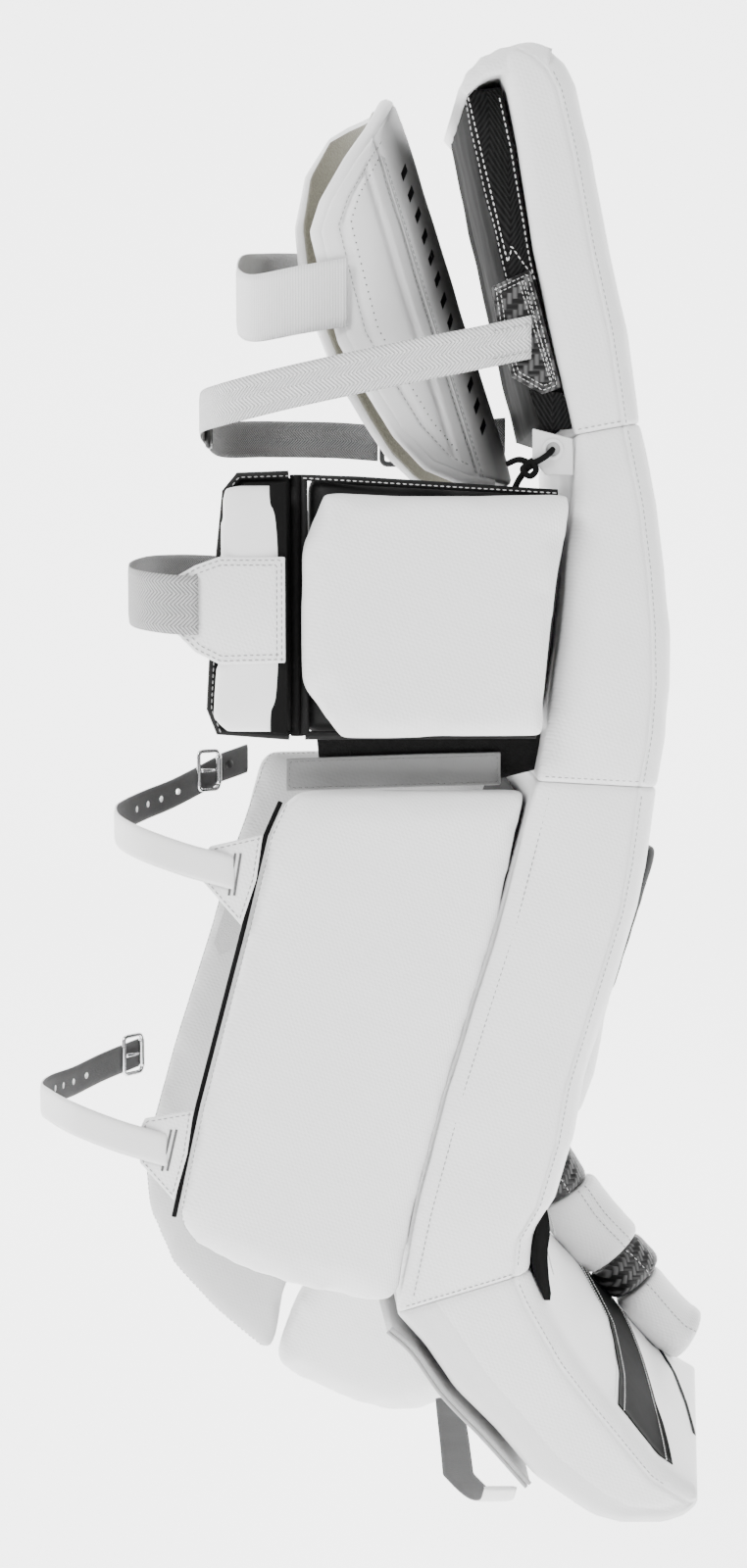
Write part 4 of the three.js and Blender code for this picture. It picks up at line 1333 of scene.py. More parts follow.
lateral_threads = stitches("outer_wing_threads", [
    press_on(
        lateral_tree,
        [(x, 90, z) for x, z in along_line(shrink(lateral_shape, 6)[:13], np.linspace(0, 1, 160))],
        (0, 1, 0), 0.25)], thread_pale, radius=0.32)

TAB_FACE = -153.3
upper_tab_shape = [(-76, -133), (-107, -140), (-113, -148), (-113, -159), (-89, -187), (-80, -160)]
lower_tab_shape = [(-118, -298), (-147, -303), (-152, -314), (-150, -330), (-130, -353), (-122, -325)]
tabs = []
for tab_name, shape, middle, lean in (
    ("upper_tab", upper_tab_shape, (-92.5, -156.5), 0.16),
    ("lower_tab", lower_tab_shape, (-132.5, -322), 0.23),
):
    tab = flat_tab(tab_name, shape, TAB_FACE, TAB_FACE + 2.5, white, 0.9)
    threads = edge_rows(tab_name + "_threads", shape, TAB_FACE - 0.15, [2.0], thread_pale, radius=0.34)
    top = (middle[0] + 12.5 * lean, middle[1] + 12.5)
    low = (middle[0] - 12.5 * lean, middle[1] - 12.5)
    # Dark cords along each slot: painted shade in the slit where the strap goes through.
    slot_shade_lines = cord_mesh(tab_name + "_slot", [
        [(top[0] - 1.6, TAB_FACE - 0.2, top[1]), (low[0] - 1.6, TAB_FACE - 0.2, low[1])],
        [(top[0] + 1.6, TAB_FACE - 0.2, top[1]), (low[0] + 1.6, TAB_FACE - 0.2, low[1])]], 0.7, thread_dark)
    tabs.append((tab_name, tab, threads, slot_shade_lines))

inner_strap_shape = [(66, -108), (66, -88), (20, -89), (-64, -92), (-64, -112), (20, -109)]
inner_strap = outline_prism("inner_strap", inner_strap_shape, -109.0, -106.5, mid_grey, 0.8)
inner_strap_threads = edge_rows("inner_strap_threads", [(66, -108), (66, -88), (-64, -92), (-64, -112)],
                                -109.2, [2.0], thread_pale, radius=0.34)


# ---------------------------------------------------------------- straps and hardware
def ribbon(name, points, width, thick, outside, inside, flip=-1.0, wide_axis=(0, 0, 1), samples=90,
           rule=None):
    """A flat strap along a path, with soft edges, and its length and width kept as UVs."""
    middle = spline(points, samples)
    wide = np.array(wide_axis, float)
    rows = 8
    far = lengths(middle)
    shape = []
    for k in range(rows + 1):
        v = width * (k / rows - 0.5)
        edge = 0.45 if k in (0, rows) else 1.0
        shape.append((v, thick / 2 * edge))
    for k in range(rows + 1):
        v = width * (0.5 - k / rows)
        edge = 0.45 if k in (0, rows) else 1.0
        shape.append((v, -thick / 2 * edge))
    points_out = []
    marks = []
    for i, m in enumerate(middle):
        a = middle[max(0, i - 1)]
        b = middle[min(samples - 1, i + 1)]
        tangent = (b - a) / np.linalg.norm(b - a)
        normal = np.cross(tangent, wide) * flip
        normal /= np.linalg.norm(normal)
        for v, h in shape:
            at = m + wide * v + normal * h
            points_out.append(rule(at) if rule else at)
            marks.append((far[i] * MM, v * MM))
    faces = rings_to_faces(samples, len(shape))
    if flip < 0:
        faces = [tuple(reversed(f)) for f in faces]
    picks = [0 if len(f) > 4 or min(f[0] % 18, f[-1] % 18) < rows + 1 and max(
        f[0] % 18, f[1] % 18, f[2] % 18, f[3] % 18) <= rows + 1 else 1 for f in faces]
    made = mesh_from(name, points_out, faces, [outside, inside], picks)
    layer = made.data.uv_layers.new(name="strap")
    for loop in made.data.loops:
        layer.data[loop.index].uv = marks[loop.vertex_index]
    return made


def path_frame(points, share, side_in=1.0):
    """Where a strap is at a share of its length: place, direction, and inward normal."""
    line = spline(points, 201)
    i = min(200, max(0, int(round(share * 200))))
    a = line[max(0, i - 1)]
    b = line[min(200, i + 1)]
    t = b - a
    t[2] = 0
    t /= np.linalg.norm(t)
    return line[i], t, np.array([t[1], -t[0], 0.0]) * side_in


def punch(strap_object, places, normal_reach=6.0, radius=2.2):
    """Punches round holes through a strap."""
    for place, direction in places:
        tool = bmesh.new()
        bmesh.ops.create_cone(tool, cap_ends=True, segments=14, radius1=radius * MM, radius2=radius * MM,
                              depth=2 * normal_reach * MM)
        mesh = bpy.data.meshes.new("punch")
        tool.to_mesh(mesh)
        tool.free()
        cutter = bpy.data.objects.new("punch", mesh)
        COLLECTION.objects.link(cutter)
        cutter.matrix_world = Vector(direction).to_track_quat("Z", "Y").to_matrix().to_4x4()
        cutter.location = Vector(place) * MM
        cut = strap_object.modifiers.new("cut", "BOOLEAN")
        cut.operation = "DIFFERENCE"
        cut.solver = "EXACT"
        cut.object = cutter
        bake(strap_object)
        bpy.data.objects.remove(cutter)


def tube(name, points, radius, material, closed_loop=True, sides=10, up_axis=(0, 0, 1)):
    p = np.array(points, float)
    count = len(p)
    rings = []
    for i in range(count):
        if closed_loop:
            t = p[(i + 1) % count] - p[i - 1]
        else:
            t = p[min(count - 1, i + 1)] - p[max(0, i - 1)]
        t /= np.linalg.norm(t)
        one = np.array(up_axis, float)
        one -= t * np.dot(one, t)
        one /= np.linalg.norm(one)
        two = np.cross(t, one)
        size = radius[i] if hasattr(radius, "__len__") else radius
        for k in range(sides):
            a = 2 * math.pi * k / sides
            rings.append(p[i] + (one * math.cos(a) + two * math.sin(a)) * size)
    faces = rings_to_faces(count, sides, closed_ends=not closed_loop)
    if closed_loop:
        last = (count - 1) * sides
        faces += [(last + j, last + (j + 1) % sides, (j + 1) % sides, j) for j in range(sides)]
    return mesh_from(name, rings, faces, [material])


def rounded_ring(length, height, corner, steps=4):
    """A rectangle with rounded corners, as (along, height) points."""
    out = []
    for cx, cy, start in ((1, 1, 0), (-1, 1, 90), (-1, -1, 180), (1, -1, 270)):
        for k in range(steps + 1):
            a = math.radians(start + 90 * k / steps)
            out.append((cx * (length / 2 - corner) + corner * math.cos(a),
                        cy * (height / 2 - corner) + corner * math.sin(a)))
    return out


STRAP_START = -154.8
upper_path = [(-92.2, -151.6, -156.5), (-98, STRAP_START, -154), (-120, -155.8, -148), (-147, -144.8, -140),
              (-164, -116, -136), (-172, -70, -135), (-174, -10, -137), (-165, 35, -135),
              (-148, 70, -130), (-119, 95, -116)]
lower_path = [(-133, -151.6, -322.5), (-140, STRAP_START, -320), (-165, -155.8, -312), (-192, -142.8, -305),
              (-210, -112, -305), (-221, -70, -311), (-224, -15, -319), (-216, 35, -325),
              (-200, 70, -323), (-176, 98, -318)]
upper_strap = ribbon("upper_strap", upper_path, 20, 2.4, leather_out, leather_in, samples=110)
lower_strap = ribbon("lower_strap", lower_path, 20, 2.4, leather_out, leather_in, samples=110)


def hole_places(path, shares):
    places = []
    for share in shares:
        at, t, n = path_frame(path, share)
        places.append((at, n))
    return places


punch(upper_strap, hole_places(upper_path, [0.70, 0.76, 0.82, 0.88]))
punch(lower_strap, hole_places(lower_path, [0.64, 0.70, 0.76, 0.82]))


def buckle_pieces(name, path):
    at, t, n = path_frame(path, 1.0)
    middle = at - t * 12.0
    up_axis = np.array([0, 0, 1.0])

    def put(along_way, away, height):
        return middle + t * along_way + n * away + up_axis * height

    ring = [put(a, 3.3, h) for a, h in rounded_ring(17, 27, 3.2)]
    hoop = tube(name + "_hoop", ring, 1.45, chrome, up_axis=n)
    roller_points = [put(8.4, 3.3, h) for h in np.linspace(-9.8, 9.8, 12)]
    roller = tube(name + "_roller", roller_points, 2.1, chrome, closed_loop=False, up_axis=n)
    frame_piece = join_objects(name + "_frame", [hoop, roller])
    line = [put(a, 3.3 + 1.1 * math.sin(math.pi * s), 0) for s, a in
            ((k / 10, -6.4 + 12.0 * k / 10) for k in range(11))]
    size = [1.6, 1.5, 1.4, 1.35, 1.3, 1.3, 1.25, 1.2, 1.15, 1.05, 0.8]
    tongue = tube(name + "_tongue", line, size, chrome, closed_loop=False, up_axis=(0, 0, 1))
    return frame_piece, tongue


upper_hoop, upper_tongue = buckle_pieces("upper_buckle_wire", upper_path)
lower_hoop, lower_tongue = buckle_pieces("lower_buckle_wire", lower_path)

end_at, end_t, _ = path_frame(upper_path, 1.0)
tab_start = end_at + end_t * 1.0
tab_middle = end_at + end_t * 14.0
buckle_tab = ribbon("upper_buckle_leather", [
    (tab_start[0], tab_start[1], -115), (tab_middle[0], tab_middle[1], -112),
    (tab_start[0] + 17, 114.6, -110)], 20, 2.4, leather_out, leather_in, samples=14)
rivet_at = (tab_start + tab_middle) / 2
rivet_dir = np.array([end_t[1], -end_t[0], 0.0])
rivet = tube("buckle_rivet", [tuple((rivet_at[0], rivet_at[1], -113) + rivet_dir * h) for h in
             (-2.2, -1.2, 0.0, 1.2, 1.9, 2.4, 2.6)], [3.4, 3.6, 3.6, 3.6, 3.2, 2.2, 0.4], plastic,
             closed_loop=False, sides=16)

knee_web = [(-112, -162.2, 1), (-131, -163.2, 2), (-151, -140.2, 5), (-162, -70, 9),
            (-164, 0, 13), (-160, 70, 16), (-140, 106, 17), (-114, 124, 16)]
knee_strap = ribbon("knee_webbing", knee_web, 34, 1.6, web_mid, web_grey, samples=80)
elastic_path = [(-26, -101.7, 187), (-55, -103.7, 182), (-82, -89.7, 179), (-94, -50.9, 187), (-98, 0, 200),
                (-97, 50.9, 212), (-88, 91.7, 219), (-70, 104.1, 221), (-38, 104.1, 220)]
elastic = ribbon("elastic_band", elastic_path, 40, 2.2, elastic_out, elastic_in, samples=90)
web_path = [(81, -131.9, 157), (45, -137.9, 149), (0, -141, 140), (-57, -140, 128), (-100, -122, 119),
            (-117, -70, 118), (-119, 0, 115), (-114, 70, 112), (-84, 106, 114), (-40, 116, 114),
            (-8, 118, 112)]
web_strap = ribbon("thigh_webbing", web_path, 25, 1.6, web_white, web_grey, samples=120)
web_threads = stitches("thigh_webbing_threads", [
    [(60, -137.6, 152 + z), (78, -134.0, 156 + z)] for z in (-8, 8)], thread_pale)


def plastic_loop(name, path, share, length, offset, away, bars):
    at, t, n = path_frame(path, share)
    middle = at + t * offset
    parts = []
    ring = [middle + t * a + n * away + np.array([0, 0, h]) for a, h in rounded_ring(length - 4, 29, 3.5)]
    parts.append(tube("a", ring, 1.95, plastic, up_axis=n))
    for bar in bars:
        line = [middle + t * bar + n * away + np.array([0, 0, h]) for h in np.linspace(-14, 14, 8)]
        parts.append(tube("b", line, 1.6, plastic, closed_loop=False, up_axis=n))
    return join_objects(name, parts)


slider = plastic_loop("web_slider", web_path, 0.58, 18, 0, 3.1, [0])
lock = plastic_loop("web_buckle", web_path, 1.0, 26, 14, 0.0, [-4, 4])
stub_at, stub_t, _ = path_frame(web_path, 1.0)
stub_x = stub_at[0] + stub_t[0] * 28
stub_y = stub_at[1] + stub_t[1] * 28
stub_path = [(stub_x, stub_y, 112), (stub_x + 26, stub_y + 1, 114), (82, 126, 118)]
web_stub = ribbon("thigh_webbing_stub", stub_path, 25, 1.6, web_white, web_grey, samples=30)


def boot_strap_rule(p):
    share = min(1.0, max(0.0, (80 - SIDE - p[1]) / 80))
    return np.array([p[0] + 24 * share, p[1], p[2]])


boot_band = ribbon("boot_leather", [(44, -136, -538), (44, -126, -550), (44, -90, -560), (44, 0, -566),
                                    (44, 70, -574), (44, 101, -576)],
                   20, 2.4, leather_out, leather_in, flip=1.0, wide_axis=(1, 0, 0), samples=70,
                   rule=boot_strap_rule)


# ---------------------------------------------------------------- outer roll
def offset_forward(points, gap):
    p = np.array(points, float)
    out = []
    for i in range(len(p)):
        a = p[max(0, i - 1)]
        b = p[min(len(p) - 1, i + 1)]
        d = (b - a) / np.linalg.norm(b - a)
        out.append(p[i] + np.array([-d[1], d[0]]) * gap)
    return np.array(out)


ROLL_MIDDLE = 119.3


def roll(name, face_line, thick, start, end, material, rule=still, seam_rows=(), threads=thread_pale,
         folds=1.0):
    """One sewn segment of the outer roll, with its ends pulled in, and rows of stitching."""
    flat = [rule(np.array([x, ROLL_MIDDLE, z])) for x, z in face_line]
    line = spline(offset_forward([(p[0], p[2]) for p in flat], thick / 2 + 1.6), 400)
    line = line[int(start * 399) : int(end * 399) + 1]
    size = lengths(line)[-1]
    close = [0.0, 0.6, 1.8, 3.6, 6.0]
    at = close + list(np.linspace(9, size - 9, 30)) + [size - c for c in reversed(close)]
    wide, proud = 20.2, thick / 2 - 0.6
    points = []
    sides = 28

    def around(share, angle, lift=0.0):
        m = along_line(line, [share])[0]
        a = along_line(line, [max(0, share - 0.01)])[0]
        b = along_line(line, [min(1, share + 0.01)])[0]
        d = (b - a) / np.linalg.norm(b - a)
        n = np.array([-d[1], d[0]])
        gap = min(share, 1 - share) * size
        shrink_by = 1.0
        if gap < 6:
            shrink_by = 0.86 + 0.14 * math.sqrt(1 - (1 - gap / 6) ** 2)
        h = (proud * shrink_by + lift) * math.cos(angle)
        y = ROLL_MIDDLE + (wide * shrink_by + lift) * math.sin(angle)
        return np.array([m[0] + n[0] * h, y, m[1] + n[1] * h])

    for gap in at:
        for k in range(sides):
            p = around(gap / size, 2 * math.pi * k / sides)
            dent = folds * (0.8 * noise.noise(Vector(p) / 22.0) + 0.35 * noise.noise(Vector(p) / 9.0)) - 0.3
            points.append(around(gap / size, 2 * math.pi * k / sides, dent))
    body = mesh_from(name, points, rings_to_faces(len(at), sides), [material])
    steps = np.linspace(0.03, 0.97, 50)
    rows = [[around(s, math.radians(angle), 0.25) for s in steps] for angle in seam_rows]
    made = stitches(name + "_threads", rows, threads, radius=0.36) if rows else None
    return body, made


shin_roll_face = [(149, -166), (146, -181), (132, -228), (115, -285), (109, -320), (98, -355)]
boot_roll_face = [(85, -408), (90, -416), (110, -452), (127, -475), (143, -495), (162, -520), (174, -529)]
rolls = [
    ("shin", "roll_shin_black", *roll("roll_upper_black", shin_roll_face, 42, 0.0, 0.54, edge_black)),
    ("shin", "roll_shin_white", *roll("roll_upper_white", shin_roll_face, 42, 0.545, 1.0, white,
                                      seam_rows=(-62, -75))),
    ("boot", "roll_top_band", *roll("roll_band_top", boot_roll_face, 48, 0.0, 0.2, carbon, flare,
                                    (-75,), thread_white)),
    ("boot", "roll_boot_white", *roll("roll_lower_white", boot_roll_face, 52, 0.205, 0.53, white, flare,
                                      (-50, -66))),
    ("boot", "roll_boot_band", *roll("roll_band_low", boot_roll_face, 48, 0.54, 0.68, carbon, flare,
                                     (-60,), thread_white)),
    ("boot", "roll_toe_white", *roll("roll_toe", boot_roll_face, 42, 0.69, 1.0, white, flare, (-65,))),
]


# ---------------------------------------------------------------- boot plate
plate_line = np.array([(1, -435), (16, -449), (35, -476), (60, -503), (86, -533)], float)
plate_near = offset_forward(plate_line, -1.0)
plate_far = offset_forward(plate_line, -6.0)
plate_shape = [tuple(p) for p in plate_near] + [tuple(p) for p in plate_far[::-1]]
boot_plate = outline_prism("boot_edge_plate", plate_shape, -138.6, 105, grey, 1.4, flare)
boot_plate.data.polygons.foreach_set("use_smooth", np.ones(len(boot_plate.data.polygons), bool))
plate_cords = cord_mesh("boot_plate_edge", [
    [tuple(flare(np.array([x, -138.6, z]))) for x, z in spline(offset_forward(plate_line, -gap), 40)]
    for gap in (1.8, 4.9)], 1.25, mid_grey)


# ---------------------------------------------------------------- thigh guard
GUARD_UP = np.array([-0.3026, 0.9531])
GUARD_BACK = np.array([-0.9531, -0.3026])
CORNER = 80.0
TURN = 20 + CORNER * math.pi / 2
CAP_ARC = 80.0
near_rim = [(-4, 0), (7.8, 27.9), (22.4, 47.4), (45, 59.2), (71.5, 66.5), (107.7, 74.9), (134.6, 73.7),
            (172.6, 71.1), (187, 60.2), (206.9, 37.1), (220.8, 18), (237.2, 0)]
far_rim = [(-4, 0), (7.8, 27.9), (23, 49.3), (46.2, 63), (73, 71.3), (109.5, 80.6), (141.8, 83),
           (183.5, 82.3), (208.9, 76.4), (238.9, 58.5), (257.3, 33.7), (258.9, 6), (259.3, 0)]


def arc_of(p):
    if p <= CORNER:
        return 20 + CORNER * math.acos(1 - p / CORNER)
    return TURN + p - CORNER


def rim_arc(table, r):
    """How far round the guard its rim is, at a share r of its height."""
    q = [row[0] for row in table]
    height = q[0] + (q[-1] - q[0]) * r
    return arc_of(max(0.0, float(np.interp(height, q, [row[1] for row in table]))))


def guard_at(r, s, h):
    """A point on the guard: r up, s round (near side negative), h outwards."""
    a = abs(s)
    side = -1 if s < 0 else 1
    if a <= 20:
        p, y, np_, ny = 0.0, a, -1.0, 0.0
    elif a <= TURN:
        angle = (a - 20) / CORNER
        p, y = CORNER * (1 - math.cos(angle)), 20 + CORNER * math.sin(angle)
        np_, ny = -math.cos(angle), math.sin(angle)
    else:
        p, y, np_, ny = CORNER + a - TURN, 20 + CORNER, 0.0, 1.0
    tall = 248.2 + 11.0 * side * y / 100.0
    q = -4 + (tall + 4 - 0.5) * r
    x, z = np.array([76.0, 80.0]) + GUARD_UP * q + GUARD_BACK * (p + h * np_)
    return np.array([x, side * (y + h * ny), z])


def guard_sheet(name, low_s, high_s, outer, inner, material, seams=(), puff=1.6, round_by=3.0, rows=64,
                columns=22):
    """A padded panel of the guard between two arcs (functions of r)."""
    points = []
    rs = [0.004, 0.012, 0.024] + list(np.linspace(0.04, 0.96, rows)) + [0.976, 0.988, 0.996]
    for r in rs:
        a, b = low_s(r), high_s(r)
        if b - a < 0.5:
            middle = (a + b) / 2
            a, b = middle - 0.25, middle + 0.25
        ring = []
        for way in (1, -1):
            for k in range(columns + 1):
                c = k / columns
                c = 0.5 - 0.5 * math.cos(math.pi * c)
                c = c if way > 0 else 1 - c
                s = a + (b - a) * c
                edge = min(s - a, b - s, r * 250, (1 - r) * 250)
                half = (outer - inner) / 2
                share = 1.0
                if edge < round_by:
                    share = math.sqrt(max(0.03, 1 - (1 - edge / round_by) ** 2))
                h = (outer + inner) / 2 + way * half * share
                if way > 0:
                    h += puff * min(1.0, edge / 22) ** 0.6
                    for gap, depth in seams:
                        h -= depth * math.exp(-((edge - gap) / 1.6) ** 2)
                    shape = guard_at(r, s, 0)
                    h += 0.8 * noise.noise(Vector(shape) / 33.0)
                ring.append(guard_at(r, s, h))
        points.extend(ring)
    return mesh_from(name, points, rings_to_faces(len(rs), 2 * (columns + 1)), [material])


def near_s(r):
    return -rim_arc(near_rim, r)


def far_s(r):
    return rim_arc(far_rim, r)


guard_cap = guard_sheet("guard_front", lambda r: max(near_s(r), -CAP_ARC), lambda r: min(far_s(r), CAP_ARC),
                        0, -9, cap_tone_and_painted_shade, puff=1.8)
guard_near = guard_sheet("guard_flap_inner", near_s,
                         lambda r: -CAP_ARC if near_s(r) < -CAP_ARC else near_s(r) + 0.4,
                         0, -9, smooth_white, seams=((15, 2.6),), columns=34, rows=80)
guard_far = guard_sheet("guard_flap_outer",
                        lambda r: CAP_ARC if far_s(r) > CAP_ARC else far_s(r) - 0.4, far_s, 0, -9,
                        smooth_white, seams=((15, 2.6),), columns=34)
guard_lining = guard_sheet("guard_lining", lambda r: near_s(r) + 1.5, lambda r: far_s(r) - 1.5, -9.3, -15,
                           nash, puff=0, columns=50)
rim_line = [guard_at(r, near_s(r), -5) for r in np.linspace(0.02, 0.995, 120)]
rim_top = [guard_at(0.995, s, -5) for s in np.linspace(near_s(0.995), far_s(0.995), 24)]
rim_back = [guard_at(r, far_s(r), -5) for r in np.linspace(0.995, 0.02, 120)]
whole_rim = along_line(np.array(rim_line + rim_top + rim_back), np.linspace(0, 1, 300))
guard_binding = cord_mesh("guard_binding", [whole_rim], 5.0, smooth_white)


def near_line(gap, low, high, h=1.6):
    return [guard_at(r, near_s(r) + gap, h) for r in np.linspace(low, high, 90)]


guard_tree = surface_of(guard_near, guard_cap)
pinhole_line = press_on(guard_tree, near_line(20.5, 0.12, 0.86), (0, 1, 0), 0.05)
pinholes = stitches("guard_pinholes", [pinhole_line], thread_dark,
                    spacing=4.2, length=1.0, radius=0.5)
guard_rows = stitches("guard_threads", [
    press_on(guard_tree, near_line(12.5, 0.08, 0.9), (0, 1, 0), 0.1),
] + [
    press_on(guard_tree, [guard_at(r, -CAP_ARC + gap, 1) for r in np.linspace(0.04, 0.86, 80)],
             (0, 1, 0), 0.1)
    for gap in (-2.6, 2.6)],
    thread_pale, radius=0.34)
guard_piping = cord_mesh("guard_piping", [
    press_on(guard_tree, [guard_at(r, -CAP_ARC, 1) for r in np.linspace(0.03, 0.87, 70)], (0, 1, 0), 0.1)],
    1.0, grey)


def cap_dashes():
    """A plain row of slanted dashes down the guard's front panel."""
    points = []
    faces = []
    for number in range(13):
        r = 0.80 - 0.055 * number
        base = len(points)
        corners = ((r - 0.004, -66.0), (r + 0.020, -57.0), (r + 0.040, -57.0), (r + 0.016, -66.0))
        for rr, s in corners:
            points.append(guard_at(rr, s, 2.2))
        faces.append((base, base + 1, base + 2, base + 3))
    tree = surface_of(guard_cap)
    spots = []
    for p in points:
        hit, normal, _, _ = tree.find_nearest(Vector([c * MM for c in p]))
        spots.append(tuple((hit + normal * 0.35 * MM) / MM))
    return mesh_from("guard_dashes", spots, faces, [black_smooth])


dashes = cap_dashes()


# ---------------------------------------------------------------- lace and its tab
lace_tab_shape = [(82, 104), (105.5, 98), (106, 77), (90, 77), (82, 86)]
lace_tab = flat_tab("lace_loop_tab", lace_tab_shape, -135.7, -133.2, pale, 0.8)
grommet = tube("lace_grommet", [(94 + 5.2 * math.cos(a), -136.0, 92 + 5.2 * math.sin(a))
                                for a in np.linspace(0, 2 * math.pi, 25)[:-1]], 1.2, pale, up_axis=(0, 1, 0))
# A grey disc inside the grommet: painted shade in the lace hole.
lace_hole_shade = mesh_from("lace_hole_shade", [(94 + 4.4 * math.cos(a), -135.95, 92 + 4.4 * math.sin(a))
                                    for a in np.linspace(0, 2 * math.pi, 25)[:-1]],
                      [tuple(range(24))], [mid_grey])
lace_through = [(79.5, -93.7, 83), (84, -107.7, 84), (90, -121.7, 91), (94, -133.7, 92)]
lace_end = [(94, -135, 92), (90, -139, 88), (82, -137, 84), (74, -134, 86), (68, -128, 84)]
lace_knot = [(80, -137, 84), (76, -140, 80), (80, -141, 76), (84, -138, 80), (80, -137, 86)]
lace_tail = [(80, -138, 82), (74, -137, 74), (71, -136, 66), (72, -135, 58)]
lace = cord_mesh("lace_cord", [spline(lace_through, 24), spline(lace_end, 30), spline(lace_knot, 30),
                               spline(lace_tail, 24)], 1.9, black_smooth)


# ---------------------------------------------------------------- riding and replacing
def place(obj, body, nodes=(), slot=None, fill=None):
    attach(obj, body)
    if nodes:
        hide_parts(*nodes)


def bend_between(obj, a, b, start, end, nodes=(), slot=None, fill=None):
    tuple(c * MM for c in start)
    tuple(c * MM for c in end)
    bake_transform(obj)
    if nodes:
        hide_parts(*nodes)


THIGH_BEND = ("thigh", "knee", (128, 0, 136), (126, 0, 106))
SHIN_BEND = ("shin", "knee", (120, 0, -136), (121, 0, -106))
BOOT_BEND = ("boot", "shin", (51, 0, -440), (44, 0, -416))


def panels(name):
    return [name + "_medial_panel", name + "_lateral_panel", name + "_face", name + "_core"]


bend_between(thigh_skin, *THIGH_BEND, nodes=panels("thigh"), slot="white_cover", fill=0.9)
bend_between(shin_skin, *SHIN_BEND, nodes=panels("shin"), slot="white_cover", fill=0.9)
bend_between(boot_skin, *BOOT_BEND, nodes=panels("boot"), slot="white_cover", fill=0.9)
place(knee_skin, "knee", panels("knee"), "white_cover", 0.9)
bend_between(thigh_threads, *THIGH_BEND)
bend_between(shin_threads, *SHIN_BEND)
bend_between(boot_threads, *BOOT_BEND)
place(knee_threads, "knee")
place(boot_stripe, "boot", slot="black_textile")
place(stripe_threads, "boot")
place(boot_line, "boot", slot="black_textile")
bend_between(gusset, "boot", "shin", (96, 0, -416), (92, 0, -384), slot="black_textile", fill=0.7)
bend_between(gusset_threads, "boot", "shin", (96, 0, -416), (92, 0, -384))
place(hood, "thigh", ["top_cap"], "white_cover", 0.7)
place(liner, "thigh", ["thigh_back_pad"], "black_textile", 0.8)
place(liner_threads, "thigh")
place(anchor, "thigh", ["thigh_strap_anchor"], "carbon_twill")
place(anchor_threads, "thigh")
place(anchor_cross, "thigh")
place(thigh_elastic, "thigh", slot="black_textile")
place(cradle, "knee", ["knee_cradle"], "black_textile", 0.8)
place(landing_core, "knee", ["knee_landing_core"], "black_textile", 0.9)
place(landing_pad, "knee", ["knee_landing_pad"], "white_cover", 0.9)
place(binding, "knee", slot="black_textile")
place(binding_threads, "knee")
place(wing_hinge, "knee", slot="black_textile")
place(skirt, "knee", slot="black_textile")
place(knee_wing, "inner_knee_wing", ["knee_wing"], "black_textile", 0.9)
place(wing_threads, "inner_knee_wing")
place(wing_binding, "inner_knee_wing", slot="black_textile")
place(pillow, "inner_knee_wing", ["knee_wing_pillow"], "white_cover", 0.8)
place(shade, "inner_knee_wing", slot="black_textile")
place(knee_tab, "inner_knee_wing", ["knee_strap_tab"], "white_cover")
place(knee_tab_threads, "inner_knee_wing")
place(outer_knee_wing, "outer_knee_wing", ["outer_knee_wing"], "grey_cover", 0.9)
place(calf_liner, "shin", ["calf_liner"], "black_textile", 0.8)
place(inner_strap, "shin", ["inner_knee_strap"], "grey_cover")
place(inner_strap_threads, "shin")
place(medial_wing, "inner_calf_wing", ["medial_wing"], "white_cover", 0.9)
place(medial_threads, "inner_calf_wing")
place(medial_piping, "inner_calf_wing", slot="black_textile")
for tab_name, tab, threads, slit_shade in tabs:
    place(tab, "inner_calf_wing", [tab_name.replace("_tab", "_strap_tab")], "white_cover")
    place(threads, "inner_calf_wing")
    place(slit_shade, "inner_calf_wing")
place(lateral_wing, "outer_calf_wing", ["lateral_wing"], "grey_cover", 0.9)
place(felt_patch, "outer_calf_wing", slot="grey_cover")
place(lateral_threads, "outer_calf_wing")
place(ankle_wing, "outer_ankle_wing", ["ankle_wing"], "white_cover", 0.9)
place(upper_strap, "upper_calf_strap", ["upper_calf_strap"], "leather_strap")
place(buckle_tab, "upper_calf_strap", ["upper_buckle_tab"], "leather_strap")
place(rivet, "upper_calf_strap", slot="black_plastic")
place(lower_strap, "lower_calf_strap", ["lower_calf_strap"], "leather_strap")
place(upper_hoop, "upper_buckle", ["upper_buckle_frame"], "chrome_hardware")
place(upper_tongue, "upper_prong", ["upper_buckle_prong"], "chrome_hardware")
place(lower_hoop, "lower_buckle", ["lower_buckle_frame"], "chrome_hardware")
place(lower_tongue, "lower_prong", ["lower_buckle_prong"], "chrome_hardware")
place(knee_strap, "knee_strap", ["knee_strap"], "webbing")
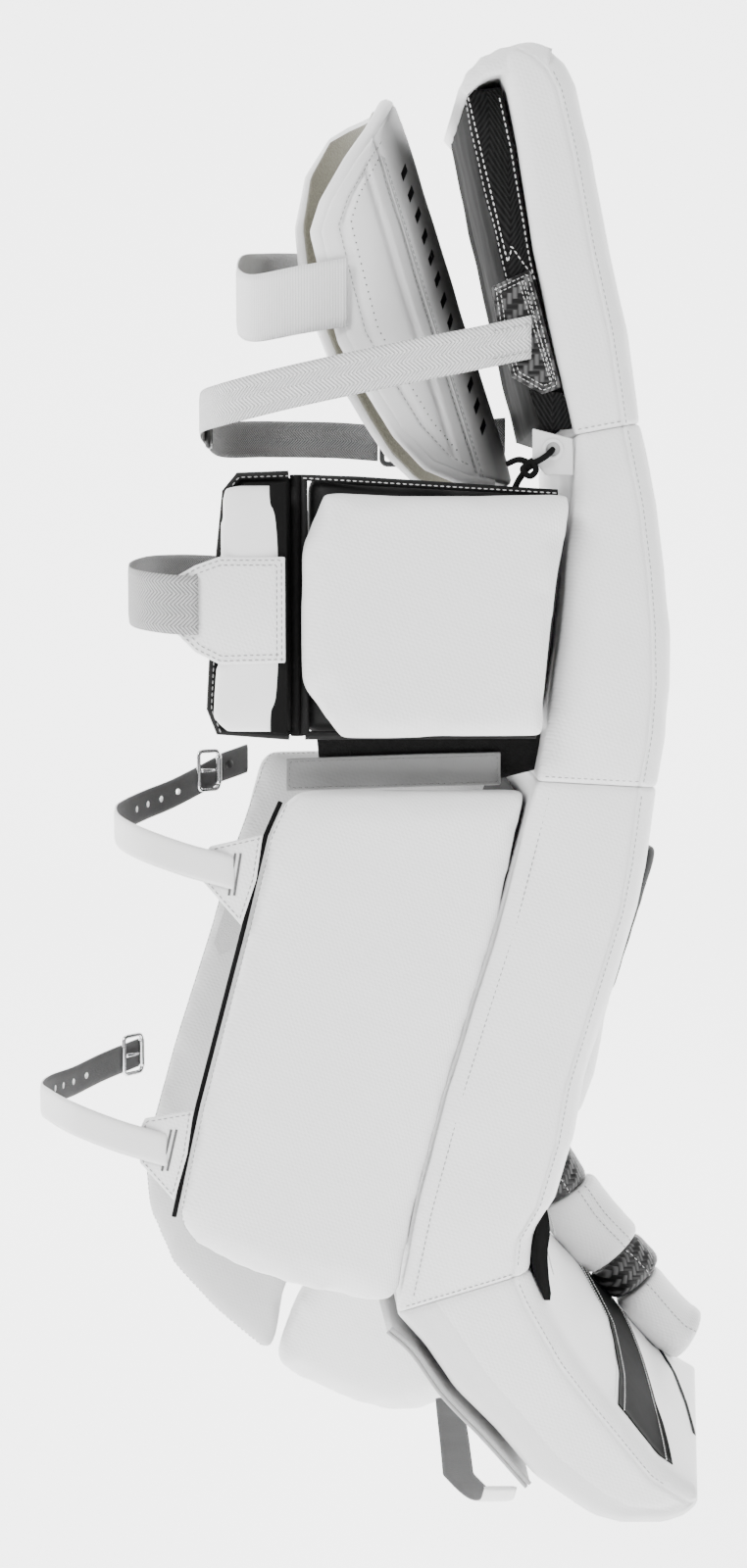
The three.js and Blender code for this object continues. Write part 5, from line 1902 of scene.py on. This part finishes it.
place(elastic, "elastic_strap", ["elastic_strap"], "webbing")
place(web_strap, "thigh_strap", ["thigh_web_strap"], "webbing")
place(web_threads, "thigh_strap")
place(slider, "thigh_slider", ["thigh_strap_slider"], "black_plastic")
place(lock, "thigh_strap", ["thigh_strap_buckle"], "black_plastic")
place(web_stub, "thigh", ["thigh_strap_stub"], "webbing")
place(boot_band, "boot_strap", ["boot_strap"], "leather_strap")
for body, node, shape, threads in rolls:
    slot_name = "carbon_twill" if "band" in node else "black_textile" if "black" in node else "white_cover"
    place(shape, body, [node], slot_name, 0.9)
    if threads:
        place(threads, body)
place(boot_plate, "boot", ["boot_plate"], "grey_cover")
place(plate_cords, "boot", slot="grey_cover")
place(guard_cap, "thigh_guard", ["thigh_guard_cap"], "white_cover", 0.9)
place(guard_near, "thigh_guard", ["thigh_guard_near_flap"], "white_cover", 0.9)
place(guard_far, "thigh_guard", ["thigh_guard_far_flap"], "white_cover", 0.9)
place(guard_lining, "thigh_guard", ["thigh_guard_liner"], "nash_liner", 0.8)
for piece in (guard_binding, pinholes, guard_rows, guard_piping, dashes):
    place(piece, "thigh_guard")
place(lace_tab, "knee", ["lace_tab"], "grey_cover")
place(lace, "knee", ["guard_lace"], "black_textile")
place(grommet, "knee", slot="black_textile")
place(lace_hole_shade, "knee", slot="black_textile")


# ---------------------------------------------------------------- backdrop and light round it
def make_backdrop():
    """A pale floor that curves up into a back wall."""
    low = -800.0
    line = [(-2600, low), (1500, low), (1900, low + 60), (2200, low + 240), (2400, low + 560), (2450, 3000)]
    points = []
    for y, z in line:
        points.append((-15000, y, z))
        points.append((15000, y, z))
    faces = [(2 * i, 2 * i + 1, 2 * i + 3, 2 * i + 2) for i in range(len(line) - 1)]
    backdrop = mesh_from("backdrop", points, faces, [studio_white])


make_backdrop()
world = bpy.data.worlds.new("studio")
world.use_nodes = True
world.node_tree.nodes["Background"].inputs[0].default_value = (1.0, 1.0, 1.0, 1.0)
world.node_tree.nodes["Background"].inputs[1].default_value = 0.34
bpy.context.scene.world = world
